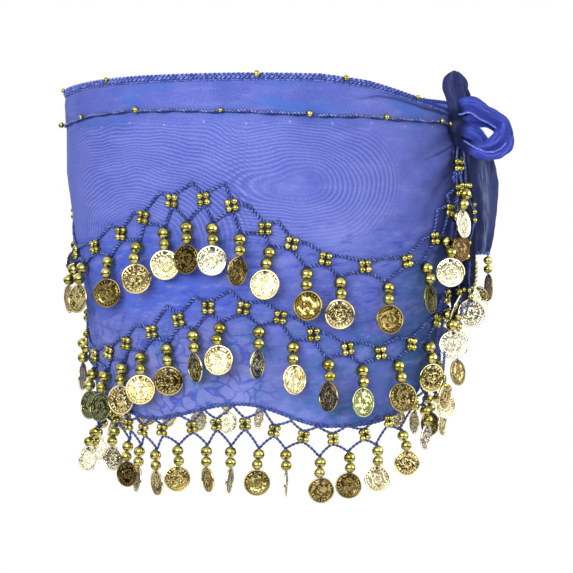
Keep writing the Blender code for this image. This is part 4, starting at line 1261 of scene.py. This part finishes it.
def band_shape(cloth):
    """The waistband: a soft casing over the top of the cloth. It is puffed by a sine of the way
    between its seams, puckered more towards the lower one, and folded along its length."""
    turn, height, share = cloth_grid(
        cloth.columns, BAND_ROWS, lambda _, drawn: read(BAND_LINES, drawn, 2)
    )
    along = turn * MM_PER_TURN
    puff = 0.3 * np.sin(np.pi * share) ** 0.7
    pucker = 0.14 * ripple(8, along, height * 0.25, 6, 3.0, 8.0) * share**2
    long_fold = 0.25 * ripple(9, along * 0.12, height, 4, 5.0, 12.0)
    out = BAND_OUT + puff + pucker + long_fold * np.sin(np.pi * share)
    out = out + crease_rise(BAND_CREASES, turn, height)
    # The third mark: painted shade near the knot, a little lighter on the band.
    marks = marked(along, height, 0.8 * knot_shade(turn, height))
    shape = Shape()
    shape.wall(place(turn, height, out), place(turn, height, -0.1), marks)
    return shape


def along_band(column, rise, out, start=CHAIN_START, end=CHAIN_END):
    """A path along a line of the waistband, with the outward direction at each point."""
    turn = np.linspace(start, end, int((end - start) * MM_PER_TURN / 0.7))
    height = read(BAND_LINES, turn, column) + rise
    return place(turn, height, out), outward(turn, height)


def top_edging_shape():
    """A crochet braid over the top fold: a flat plait, whipped along its lower edge. It is
    narrower, lies higher, and is darker with painted shade, near the knot."""
    shape = Shape()
    path, out = along_band(1, 0.5, 0.9)
    from_knot = np.linspace(CHAIN_START, CHAIN_END, len(path))
    from_knot = np.minimum(from_knot, CHAIN_START + CHAIN_END - from_knot)
    share = 0.4 + 0.6 * np.clip((from_knot - 14.0) / 34.0, 0.0, 1.0)
    lift = (1.0 - share)[:, None] * UP
    path = path + lift
    plait(shape, path, out, 0.62, 1.35, 8.4, share)
    # A flat core under the plait, in the thread's darkest colour: painted shade behind the
    # strands.
    core = steady(1.35 * share[:, None])
    shape.sweep(path - 0.5 * out, out, core, 6, steady(0.0), steady(0.7))
    path, out = along_band(1, -1.9, 0.7)
    twine(shape, path + 2.2 * lift, out, 0.36, 0.42, 3.6)
    return shape


def band_chain_shape():
    """A chain stitch along the seam, over a thin dark cord, pulled straight: the cord, in the
    thread's darkest colour, is the painted shadow line under the chain.
    """
    shape = Shape()
    path, out = along_band(2, 0.2, 1.2)
    twine(shape, path + wander(path), out, 0.36, 0.5, 3.9)
    # The thin dark cord: painted shadow line under the chain.
    path, out = along_band(2, -0.75, 1.0, 6.0, 358.5)
    shape.sweep(path + wander(path), out, whipped(0.42, 0.1, 3.1), 6, steady(0.0))
    return shape


def wander(path):
    """The small wander of a stitched line, up and down."""
    share = np.linspace(0.0, 1.0, len(path))[:, None]
    return (0.28 * np.sin(300.0 * share) + 0.22 * np.sin(131.0 * share)) * UP


def hem_edge_shape():
    """The rolled hem, whipped over with bright thread."""
    columns = np.linspace(PANEL_START, PANEL_END, HEM_POINTS)
    height = hem_height(columns) - 0.2
    turn = drawn_turn(columns, height)
    out = outward(turn, height)
    shape = Shape()
    shape.sweep(place(turn, height, -0.3), out, whipped(0.8, 0.176, 2.6), 8, slants(2.6))
    uneven = 0.5 * ripple(21, turn * MM_PER_TURN, 0.0 * turn, 5, 6.0, 17.0)
    twine(shape, place(turn, height + 0.7 + uneven, 0.5), out, 0.34, 0.5, 4.6)
    return shape


def net_chain_shape(row):
    """The row's cords: one runs over the flowers by the peaks, one under them by the V's. Each
    flower has a core of thread, each V a tuft, and each peak a knob."""
    shape = Shape()
    lines = (
        (row.height + row.reach, row.peak_turn, row.peak, -0.5, 14),
        (row.height - row.reach, row.foot_turn, row.low, 0.8, 16),
    )
    radius, spread, pitch = FRINGE_CORD if row.scale < 1.0 else CORD
    for line in lines:
        turn, height = row.line(*line)
        path, away = row.on_net(turn, height, CORD_OUT), outward(turn, height)
        twine(shape, path, away, radius, spread, pitch)
        # A core behind the two strands, in the thread's darkest colour: painted shade between
        # them, as the dark outline of the chain.
        shape.sweep(path - 0.25 * away, away, steady(0.95 * radius), 5, steady(0.0))
    away = outward(row.turn, row.height)
    flowers = row.on_net(row.turn, row.height, 1.2)
    peaks = row.on_net(row.peak_turn, row.peak, CORD_OUT)
    up = np.broadcast_to(UP, row.across.shape)
    knots = (
        (flowers, away, np.cross(UP, away), FLOWER_CORE, 8, 0.1),
        (row.hung(0.6, 0.12), up, row.across, V_TUFT, 7, 0.25),
        (peaks, up, row.across, PEAK_KNOB, 7, 0.6),
    )
    for centre, axis, side, profile, sides, crest in knots:
        shape.lathe(centre, axis, side, np.array(profile) * row.scale, sides, (0.0, 0.0, crest))
    strings(shape, row)
    return shape


def strings(shape, row):
    """The dark thread of each pendant, from its V through both beads to the coin's hole."""
    path = np.stack([row.hung(drop, share) for drop, share in STRING_STOPS], axis=1)
    out = np.broadcast_to(row.away[:, None], path.shape)
    shape.sweep(path, out, steady(0.5), 5, plies(1.6))


def bead_shape(row, trim):
    """Gold beads of a row: four to a flower, and two strung above each coin."""
    shape = Shape()
    away = outward(row.turn, row.height)
    across = np.cross(UP, away)
    centre = row.on_net(row.turn, row.height, FLOWER_OUT)
    lean = 0.22 * np.sin(5.1 * np.arange(len(row.turn)))
    far = trim.flower_bead * MM * row.scale
    for quarter in range(4):
        angle = (lean + (quarter + 0.5) * np.pi / 2)[:, None]
        aside = across * np.cos(angle) + UP * np.sin(angle)
        ball(shape, centre + aside * far * PETAL_SPREAD, far, 9)
    first = trim.bead_radius * MM * row.scale
    for drop, share, radius in zip(BEAD_DROPS, (1 / 3, 1.0), (first, 0.93 * first)):
        ball(shape, row.hung(drop, share), radius)
    return shape


def add_coins(shape, centre, face, side, radius, tone, turned=0.0):
    """Turned discs with a raised rim. The mark holds each point's place on the face."""
    angle = TAU * np.arange(COIN_SIDES) / COIN_SIDES + turned
    share = np.array(COIN_PROFILE)[:, :1]
    spots = marked(share * np.cos(angle), share * np.sin(angle), np.reshape(tone, (-1, 1, 1)))
    profile = np.array(COIN_PROFILE) * (radius, 1.0)
    shape.lathe(centre, face, side, profile, COIN_SIDES, spots)


def coin_shape(row, trim, seed):
    """Coins of a row, each turned about its string and hung a little out of true."""
    shape = Shape()
    draw = np.random.default_rng(seed)
    count = len(row.yaw)
    radius = trim.coin_radius * MM * (LOWER_COIN if row.scale < 1.0 else 1.0)
    lean = np.radians(draw.uniform(-7.0, 7.0, count))[:, None]
    roll = np.radians(draw.uniform(-9.0, 9.0, count))[:, None]
    yaw = row.yaw[:, None]
    wide = row.across * np.cos(yaw) + row.away * np.sin(yaw)
    face = row.away * np.cos(yaw) - row.across * np.sin(yaw)
    tall = UP * np.cos(lean) + face * np.sin(lean)
    face = face * np.cos(lean) - UP * np.sin(lean)
    side = wide * np.cos(roll) + tall * np.sin(roll)
    hung_from = row.hung(COIN_DROP - COIN_RADIUS, 1.0)
    centre = hung_from - (tall * np.cos(roll) - wide * np.sin(roll)) * radius
    add_coins(shape, centre, face, side, radius, row.tone, roll[:, :, None])
    return shape


def add_cluster(cords, beads, coins):
    """The ends of the nets, drawn up to the knot: strings, beads and coins."""
    for turns in CLUSTER_STRINGS:
        path = spline(turns, 60)
        out = np.broadcast_to(unit(np.array((0.2, -1.0, 0.0))), path.shape)
        twine(cords, path, out, 0.45, 0.5, 3.6)
    table = np.array(CLUSTER_BEADS)
    for radius in np.unique(table[:, 3]):
        ball(beads, table[table[:, 3] == radius, :3], radius, 11)
    table = np.array(CLUSTER_COINS)
    bearing, rise = np.radians(table[:, 3:4]), np.radians(table[:, 6:7])
    level = np.concatenate((np.sin(bearing), -np.cos(bearing), 0.0 * bearing), axis=1)
    face = level * np.cos(rise) + UP * np.sin(rise)
    side = unit(np.cross(UP, face))
    for radius in np.unique(table[:, 5]):
        same = table[:, 5] == radius
        add_coins(coins, table[same, :3], face[same], side[same], radius, table[same, 4])


def strip_frame(centre, lean):
    """Directions across a strip and out of its face, leant by an angle at each point."""
    along = unit(np.gradient(centre, axis=0))
    side = unit(np.cross(along, np.array((0.0, 1.0, 0.0))))
    front = unit(np.cross(side, along))
    turned = side * np.cos(lean) + front * np.sin(lean)
    return turned, front * np.cos(lean) - side * np.sin(lean)


def pleated_strip(shape, sections, count, folds, depth, phase=0.0, flutter=0.0):
    """A strip of gathered cloth. Its section is a flat oval bent into folds, a cosine of the way
    across, which drift on the way down; flutter waves its edges, and creases run over it
    unevenly. Gives both edges' paths."""
    centre, half_wide, half_thick, lean = np.split(spline(sections, count), (3, 4, 5), axis=1)
    side, front = strip_frame(centre, np.radians(lean))
    angle = TAU * np.arange(STRIP_SIDES) / STRIP_SIDES
    across = np.cos(angle)
    way = np.linspace(0.0, 1.0, count)[:, None]
    length = way_along(centre)[-1]
    drift = phase + 2.2 * way + 0.5 * np.sin(5.0 * way + phase)
    bend = np.cos(np.pi * folds * across + drift) + 0.4 * np.cos(7.3 * across - 2.0 * drift)
    waved = np.sin(way * length * 0.9 + 2.0 * across) * np.abs(across) ** 5
    wide = half_wide * (1.0 - 0.05 * flutter * waved) * across
    seed = int(100 * abs(phase) + count)
    crease = 1.0 - 1.6 * np.abs(ripple(seed, way * length * 0.35, wide, 5, 3.0, 8.0))
    bend = bend + CRUMPLE * crease
    deep = half_thick * np.sin(angle) + depth * bend + flutter * waved
    points = centre[:, None] + side[:, None] * wide[..., None] + front[:, None] * deep[..., None]
    # The crest is high on folds that bulge to the front: the finish paints highlights there and
    # shade in the hollows.
    crest = np.clip(0.5 - 0.36 * bend * np.sign(front[:, 1:2]), 0.0, 1.0)
    shape.tubes(points[::-1], marked(way * length, wide, crest)[::-1])
    return points[:, 0], points[:, STRIP_SIDES // 2]


def knot_shape():
    """The knot: an egg of wraps, grooved along a helix, with finer pleats in each wrap, and
    the fold that hangs from it."""
    away = outward(KNOT_TURN, KNOT_HEIGHT)
    across = np.cross(UP, away)
    centre = place(KNOT_TURN, KNOT_HEIGHT) + away * KNOT_OUT
    polar = np.linspace(np.pi * 0.97, np.pi * 0.03, 60)[:, None]
    angle = TAU * np.arange(56) / 56
    lean = 0.9 * np.cos(angle)
    wraps = 0.5 + 0.5 * np.cos(6.0 * polar + angle + lean)
    fine = 0.5 + 0.5 * np.cos(30.0 * polar + 3.0 * angle)
    radius = np.sin(polar) * (0.86 + 0.12 * wraps**0.6 + 0.02 * fine)
    half_wide, half_deep, half_tall = KNOT_HALVES
    points = (
        centre
        + across * (half_wide * radius * np.cos(angle))[..., None]
        + away * (half_deep * radius * np.sin(angle))[..., None]
        + UP * (half_tall * np.cos(polar) + 0.0 * angle)[..., None]
    )
    shape = Shape()
    # The third mark is high on the ridges of the wraps: painted highlights there and painted shade
    # in the grooves.
    shape.tubes(points[::-1], marked(polar * half_tall, angle, wraps)[::-1])
    for strip in KNOT_STRIPS:
        pleated_strip(shape, *strip)
    return shape


def trim_shapes():
    """The net end at the tail's foot: a cord, and beads and a coin on two strings."""
    cords, beads, coin = Shape(), Shape(), Shape()
    ends = TRIM_TOP + np.array(((-5.1, 0.0, -0.6), (5.1, 0.0, -0.6)))
    path = np.linspace(ends[0], ends[1], 20)
    path[:, 2] += 0.5 * np.sin(np.linspace(0.0, np.pi, 20))
    out = np.broadcast_to(FRONT, path.shape)
    cords.sweep(path, out, corded(1.3, 2.2), 8, plies(2.2), corded(1.5, 2.2))
    right = TRIM_TOP + np.array((3.9, 0.0, -1.6))
    plumb = right + np.linspace(0.0, 1.0, 8)[:, None] * np.array((0.0, 0.0, -14.0))
    slack = spline((TRIM_TOP + np.array((-4.6, -0.6, -0.8)),) + FOOT_BEADS, 40)
    for string in (plumb, slack):
        facing = np.broadcast_to(FRONT, string.shape)
        cords.sweep(string, facing, steady(0.45), 5, plies(1.5))
    ball(beads, np.array(FOOT_BEADS), 1.4, 9)
    pair = right - UP * np.array((3.1, 8.6))[:, None]
    ball(beads, pair, 2.7)
    yaw = np.radians(80.0)
    face = np.array(((-np.sin(yaw), -np.cos(yaw), 0.0),))
    centre = np.array((right - (-0.4, 0.0, 20.0),))
    add_coins(coin, centre, face, np.cross(UP, face), 8.4, 0.06)
    return cords, beads, coin


def strips_shape(strips):
    """Several strips as one piece."""
    shape = Shape()
    for strip in strips:
        pleated_strip(shape, *strip)
    return shape


def bow_shapes():
    """The bow's five strips, and the thread whipped along the foot of its top strip and the
    head of its foot strip."""
    loop, whip = Shape(), Shape()
    edges = [pleated_strip(loop, *strip) for strip in BOW_STRIPS]
    whip_edge(whip, edges[0][1])
    whip_edge(whip, edges[1][0])
    return loop, whip


def whip_edge(shape, path):
    """A bright whipped thread along an edge of a strip."""
    out = np.broadcast_to(FRONT, path.shape)
    shape.sweep(path + 0.5 * out, out, whipped(0.55, 0.11, 2.2), 6, slants(2.2))


def length_of(name, description, metres):
    """A length in the panel."""
    return FloatProperty(name=name, description=description, default=metres, unit="LENGTH")


def power_of(name, description, watts):
    """A light's power in the panel."""
    return FloatProperty(name=name, description=description, default=watts, unit="POWER")


def colour_of(name, description, *channels):
    """A colour in the panel."""
    return FloatVectorProperty(
        name=name, description=description, default=channels, subtype="COLOR"
    )


class ScarfCloth(bpy.types.PropertyGroup):
    """Sizes and colours of the chiffon."""

    wall: length_of("Thickness", "Both layers of chiffon", 0.0006)
    columns: IntProperty(name="Columns", description="Points round the cloth", default=420)
    rows: IntProperty(name="Rows", description="Points down the cloth", default=96)
    colour: colour_of("Colour", "Main dye", 0.130, 0.158, 0.52)
    deep: colour_of("Deep", "Dye where it is denser", 0.072, 0.098, 0.40)
    rich: colour_of("Rich", "Dye between the nets", 0.055, 0.108, 0.54)
    # Light is the paler dye where the layers part, and also the colour of painted highlights in
    # front and on crests.
    light: colour_of("Light", "Where the layers part", 0.21, 0.245, 0.62)
    cool: colour_of("Cool", "Washes in the waistband", 0.045, 0.14, 0.50)
    lilac: colour_of("Lilac", "Ground of the print", 0.24, 0.26, 0.54)
    teal: colour_of("Teal", "Washes in the print", 0.04, 0.135, 0.30)
    # Crackle colours the lines of the print, and also the painted shade in the creases of the
    # crushed cloth.
    crack: colour_of("Crackle", "Lines of the print", 0.05, 0.075, 0.40)
    # Painted glints on the print.
    painted_glint: colour_of("Sparkle", "Glints of the print", 0.20, 0.42, 0.75)
    # Shade and low shade are painted shadow, near the knot and in the sharp folds.
    shade: colour_of("Shade", "Where many layers meet", 0.022, 0.03, 0.12)
    shade_low: colour_of("Low shade", "The same, lower down", 0.018, 0.04, 0.11)
    # For each tied piece, the hollow colour is painted shade and the crest colour painted
    # highlight. The hanging end is darker than the bow: painted shade. The knot's near black is
    # painted shadow.
    tied: colour_of("Tied", "Hollows of the tied cloth", 0.026, 0.040, 0.30)
    tied_light: colour_of("Tied light", "Crests of the tied cloth", 0.095, 0.138, 0.66)
    tail: colour_of("Tail", "Hollows of the hanging end", 0.024, 0.033, 0.135)
    knot: colour_of("Knot", "Hollows of the knot", 0.005, 0.008, 0.03)
    ear: colour_of("Ear", "Hollows of the upright end", 0.018, 0.025, 0.095)
    ear_light: colour_of("Ear light", "Crests of the upright end", 0.05, 0.062, 0.20)
    tail_light: colour_of("Tail light", "Crests of the hanging end", 0.16, 0.21, 0.37)


class ScarfTrim(bpy.types.PropertyGroup):
    """Sizes and colours of the crochet, beads and coins."""

    bead_radius: length_of("Bead radius", "First bead of a pendant", 0.00385)
    flower_bead: length_of("Flower bead", "Radius of a flower's beads", 0.00215)
    coin_radius: length_of("Coin radius", "Coins of the upper rows", 0.0089)
    # In each crochet finish the dark colour is painted shade, in the grooves and behind the
    # strands, and the light one painted highlight on the crests.
    thread: colour_of("Thread", "Crochet between plies", 0.016, 0.028, 0.145)
    thread_light: colour_of("Thread light", "Crochet on the plies", 0.18, 0.25, 0.68)
    hem: colour_of("Hem", "Hem thread", 0.025, 0.045, 0.23)
    hem_light: colour_of("Hem light", "Crests of the hem thread", 0.15, 0.22, 0.60)
    fringe: colour_of("Fringe", "Thread of the lowest net", 0.03, 0.042, 0.15)
    fringe_light: colour_of("Fringe light", "Its crests", 0.13, 0.16, 0.38)
    braid: colour_of("Braid", "Stitches of the top braid", 0.24, 0.30, 0.78)
    edge: colour_of("Edge", "Bright thread of the bow's edges", 0.36, 0.41, 0.86)
    gold: colour_of("Gold", "Plating", 0.65, 0.58, 0.20)
    gold_deep: colour_of("Deep gold", "Plating in the hollows", 0.25, 0.215, 0.035)
    bronze: colour_of("Bronze", "Old plating", 0.26, 0.20, 0.07)
    green: colour_of("Green", "Light greened plating", 0.42, 0.48, 0.24)
    bright_gold: colour_of("Bright gold", "Rubbed gilt coins", 0.88, 0.71, 0.31)
    pale: colour_of("Pale gold", "Rubbed plating", 0.93, 0.77, 0.44)
    silver: colour_of("Bare metal", "Plating worn off", 0.94, 0.87, 0.69)
    brass: colour_of("Brass", "Dulled plating", 0.44, 0.36, 0.15)
    olive: colour_of("Olive", "Greened plating", 0.16, 0.18, 0.08)
    brown: colour_of("Brown", "Darkened plating", 0.20, 0.13, 0.045)
    tarnish: colour_of("Tarnish", "Hollows of the stamping", 0.20, 0.15, 0.055)


class ScarfStage(bpy.types.PropertyGroup):
    """The stage: camera, lights and floor."""

    camera_x: length_of("Camera x", "Sideways", 0.0129)
    camera_y: length_of("Camera y", "Back", -1.2)
    camera_z: length_of("Camera z", "Height", -0.111)
    lens: FloatProperty(name="Lens", description="Focal length, mm", default=119.67)
    key: power_of("Key", "Main light", 33.0)
    fill: power_of("Fill", "Soft side light", 6.0)
    back: power_of("Back light", "Light on the side away from the camera", 30.0)
    panel: power_of("Panels", "Panels that metal mirrors", 22.0)
    floor: length_of("Floor", "Its height", -0.75)


GROUPS = {"scarf_cloth": ScarfCloth, "scarf_trim": ScarfTrim, "scarf_stage": ScarfStage}


def crochet(trim):
    """The thread of most of the nets, made once."""
    found = bpy.data.materials.get("blue_crochet")
    return found or crochet_finish("blue_crochet", trim.thread, trim.thread_light)


def beads_of(trim):
    """The beads' gold, made once."""
    return bpy.data.materials.get("gold_bead") or bead_finish(trim)


def coins_of(trim):
    """The coins' metal, made once."""
    return bpy.data.materials.get("stamped_coin") or coin_finish(trim)


def keep(piece, node):
    """A piece that stands for a node of model.glb, whose part is hidden."""
    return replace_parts(piece, node)


class SCARF_OT_edgings(bpy.types.Operator):
    """Make the crochet braid, the seam chain, the whipped hem and their small beads"""

    bl_idname = "scarf.edgings"
    bl_label = "Edgings"

    def execute(self, context):
        trim = context.scene.scarf_trim
        braid = crochet_finish("braid_thread", trim.hem, trim.braid)
        seam = crochet_finish("seam_thread", trim.thread, trim.edge)
        keep(top_edging_shape().build("top_braid", braid), "top_edging")
        keep(band_chain_shape().build("seam_chain", seam), "band_chain")
        hem = crochet_finish("hem_thread", trim.hem, trim.hem_light)
        hem_edge_shape().build("hem_edge", hem)
        beads = Shape()
        for column, rise, out, spots in ((1, 1.4, 2.2, TOP_BEADS), (2, 0.3, 3.3, BAND_BEADS)):
            for turn, radius in spots:
                height = read(BAND_LINES, turn, column) + rise
                ball(beads, place(turn, height, out), radius)
        beads.build("edge_beads", beads_of(trim))
        return {"FINISHED"}


class SCARF_OT_nets(bpy.types.Operator):
    """Make the three beaded nets: cords, beads and coins"""

    bl_idname = "scarf.nets"
    bl_label = "Nets"

    def execute(self, context):
        trim = context.scene.scarf_trim
        fringe = crochet_finish("fringe_thread", trim.fringe, trim.fringe_light)
        threads = {"upper": crochet(trim), "middle": crochet(trim), "hem": fringe}
        for seed, (name, row) in enumerate(ROWS.items(), 11):
            cords, beads = net_chain_shape(row), bead_shape(row, trim)
            coins = coin_shape(row, trim, seed)
            if name == "upper":
                add_cluster(cords, beads, coins)
            node = "coin_net_" + name
            keep(cords.build("cords_" + name, threads[name]), node)
            keep(beads.build("beads_" + name, beads_of(trim)), node)
            keep(coins.build("coins_" + name, coins_of(trim)), node)
        return {"FINISHED"}


class SCARF_OT_cloth(bpy.types.Operator):
    """Make the main cloth and the waistband"""

    bl_idname = "scarf.cloth"
    bl_label = "Cloth"

    def execute(self, context):
        cloth = context.scene.scarf_cloth
        finish = chiffon_finish(cloth)
        panel = keep(panel_shape(cloth).build("chiffon_panel", finish), "panel")
        band = keep(band_shape(cloth).build("waist_casing", finish), "waistband")
        return {"FINISHED"}


class SCARF_OT_ties(bpy.types.Operator):
    """Make the knot, the bow loop, the ear and the hanging end"""

    bl_idname = "scarf.ties"
    bl_label = "Ties"

    def execute(self, context):
        cloth, trim = context.scene.scarf_cloth, context.scene.scarf_trim
        # Each tied finish darkens to the knot's near black where it leaves the knot: painted
        # shadow.
        tied = tied_finish("tied_chiffon", cloth.tied, cloth.tied_light, cloth.knot, 12.0)
        hanging = tied_finish("hanging_chiffon", cloth.tail, cloth.tail_light, cloth.knot, 14.0)
        upright = tied_finish("upright_chiffon", cloth.ear, cloth.ear_light, cloth.knot, 7.0)
        # The knot and the fold under it are painted near black: painted shadow, where they sit in
        # the gather.
        folded = tied_finish("knotted_chiffon", cloth.knot, cloth.ear, cloth.knot, 8.0)
        bright = crochet_finish("edge_thread", cloth.tied_light, trim.edge)
        loop, whip = bow_shapes()
        ear, tail = strips_shape(EAR_STRIPS), strips_shape(TAIL_STRIPS)
        knot = keep(knot_shape().build("wrapped_knot", folded), "knot")
        loop = keep(loop.build("bow_ribbon", tied), "bow_loop")
        whip.build("bow_edges", bright)
        ear = keep(ear.build("ear_fold", upright), "tie_ear")
        tail = keep(tail.build("hanging_end", hanging), "tie_tail")
        return {"FINISHED"}


class SCARF_OT_foot(bpy.types.Operator):
    """Make the trim at the foot of the hanging end"""

    bl_idname = "scarf.foot"
    bl_label = "Foot trim"

    def execute(self, context):
        trim = context.scene.scarf_trim
        cords, beads, coin = trim_shapes()
        keep(cords.build("foot_cord", crochet(trim)), "tail_trim")
        keep(beads.build("foot_beads", beads_of(trim)), "tail_trim")
        keep(coin.build("foot_coin", coins_of(trim)), "tail_trim")
        return {"FINISHED"}


FLOOR_PROFILE = ((0.01, -2.0), (1400.0, -2.0), (1400.0, 0.0), (600.0, 0.0), (0.01, 0.0))
LAMPS = (  # name, place, width and height in metres
    ("key", (-0.6, -1.75, 0.3), 1.2, 0.8), ("fill", (1.2, -1.5, 0.2), 1.0, 1.2),
    ("back", (0.4, 1.7, 0.4), 1.6, 1.0),
)
MIRRORED_PANELS = (
    ("front_panel", (-0.5, -1.75, 0.35), 1.5, 0.9), ("side_panel", (1.7, -0.3, 0.1), 2.0, 1.2),
    ("back_panel", (-0.3, 1.8, 0.5), 1.6, 0.9),
)


def area_light(name, at, width, height, power, mirrored=False):
    """A soft panel of light: it lights the dull cloth, or else is what the metal mirrors."""
    lamp = bpy.data.lights.new(name, "AREA")
    lamp.shape = "RECTANGLE"
    lamp.size = width
    lamp.size_y = height
    lamp.energy = power
    made = bpy.data.objects.new(name, lamp)
    made.location = at
    aim = Vector((0.0, 0.0, -0.1)) - made.location
    made.rotation_euler = aim.to_track_quat("-Z", "Y").to_euler()
    made.visible_diffuse = not mirrored
    made.visible_glossy = mirrored
    bpy.context.scene.collection.objects.link(made)


def surroundings():
    """A room that lights from above and leaves some dark for metal to mirror."""
    world = bpy.data.worlds.new("studio")
    world.use_nodes = True
    world.node_tree.nodes.clear()
    graph = Graph(world.node_tree)
    toward = graph.node("ShaderNodeTexCoord", output=0)
    rise = graph.node("ShaderNodeSeparateXYZ", None, {0: toward}, 2)
    tint = graph.mix(rise.step(-0.25, 0.85), (0.10, 0.10, 0.09), (1.0, 1.0, 1.0))
    dim = graph.mix(rise.step(-0.32, 0.4), (0.06, 0.05, 0.035), (1.5, 1.5, 1.45))
    mirrored = graph.node("ShaderNodeLightPath", output=3)
    tint = graph.mix(mirrored, tint, dim)
    room = graph.node("ShaderNodeBackground", None, {"Color": tint, "Strength": 0.75})
    white = graph.node("ShaderNodeBackground", None, {"Color": (1.0, 1.0, 1.0, 1.0)})
    seen = graph.node("ShaderNodeLightPath")
    shown = graph.node("ShaderNodeMixShader", None, {0: seen, 1: room, 2: white})
    graph.node("ShaderNodeOutputWorld", None, {0: shown})
    bpy.context.scene.world = world


def floor_shape(height):
    """A wide round floor at a height."""
    shape = Shape()
    centre = np.array(((0.0, 0.0, height),))
    side = np.array(((1.0, 0.0, 0.0),))
    shape.lathe(centre, UP[None], side, FLOOR_PROFILE, 64, 0.0)
    return shape


def floor_finish():
    """Matt paper, a little uneven."""
    pale = Finish("pale_floor", (0.86, 0.86, 0.85))
    grain = pale.noise(pale.node("ShaderNodeTexCoord", output=3), 3.0)
    pale.over(grain.step(0.3, 0.7), (0.9, 0.9, 0.89))
    return pale.set(Roughness=0.8)


def add_camera(stage):
    """The camera, level, looking along y."""
    lens = bpy.data.cameras.new("camera")
    lens.lens = stage.lens
    lens.sensor_width = 36.0
    camera = bpy.data.objects.new("camera", lens)
    camera.location = (stage.camera_x, stage.camera_y, stage.camera_z)
    camera.rotation_euler = (np.pi / 2, 0.0, 0.0)
    bpy.context.scene.collection.objects.link(camera)
    bpy.context.scene.camera = camera


class SCARF_OT_stage(bpy.types.Operator):
    """Make the floor, the lights and the camera"""

    bl_idname = "scarf.stage"
    bl_label = "Stage"

    def execute(self, context):
        stage = context.scene.scarf_stage
        surroundings()
        floor_shape(stage.floor * MM).mesh_object("studio_floor", floor_finish())
        for name, at, width, height in LAMPS:
            area_light(name, at, width, height, getattr(stage, name))
        for name, at, width, height in MIRRORED_PANELS:
            area_light(name, at, width, height, stage.panel, True)
        add_camera(stage)
        context.scene.view_settings.view_transform = "Standard"
        return {"FINISHED"}


class SCARF_PT_panel(bpy.types.Panel):
    """The scarf's sizes and colours, and a button for each group of pieces"""

    bl_label = "Hip Scarf"
    bl_idname = "SCARF_PT_panel"
    bl_space_type = "VIEW_3D"
    bl_region_type = "UI"
    bl_category = "Hip Scarf"

    def draw(self, context):
        for operator in OPERATORS:
            self.layout.operator(operator.bl_idname)
        for name, group in GROUPS.items():
            box = self.layout.box()
            for value in group.__annotations__:
                box.prop(getattr(context.scene, name), value)


OPERATORS = (
    SCARF_OT_edgings, SCARF_OT_nets, SCARF_OT_foot, SCARF_OT_cloth, SCARF_OT_ties, SCARF_OT_stage,
)
CLASSES = tuple(GROUPS.values()) + OPERATORS + (SCARF_PT_panel,)


def register():
    """Adds the classes, and their settings to each scene."""
    for made in CLASSES:
        bpy.utils.register_class(made)
    for name, group in GROUPS.items():
        setattr(bpy.types.Scene, name, PointerProperty(type=group))


def unregister():
    """Takes them away again."""
    for name in GROUPS:
        delattr(bpy.types.Scene, name)
    for made in reversed(CLASSES):
        bpy.utils.unregister_class(made)


def main():
    """Makes every group of pieces in turn."""
    register()
    bpy.ops.scarf.edgings()
    bpy.ops.scarf.nets()
    bpy.ops.scarf.foot()
    bpy.ops.scarf.cloth()
    bpy.ops.scarf.ties()
    bpy.ops.scarf.stage()


if __name__ == "__main__":
    main()
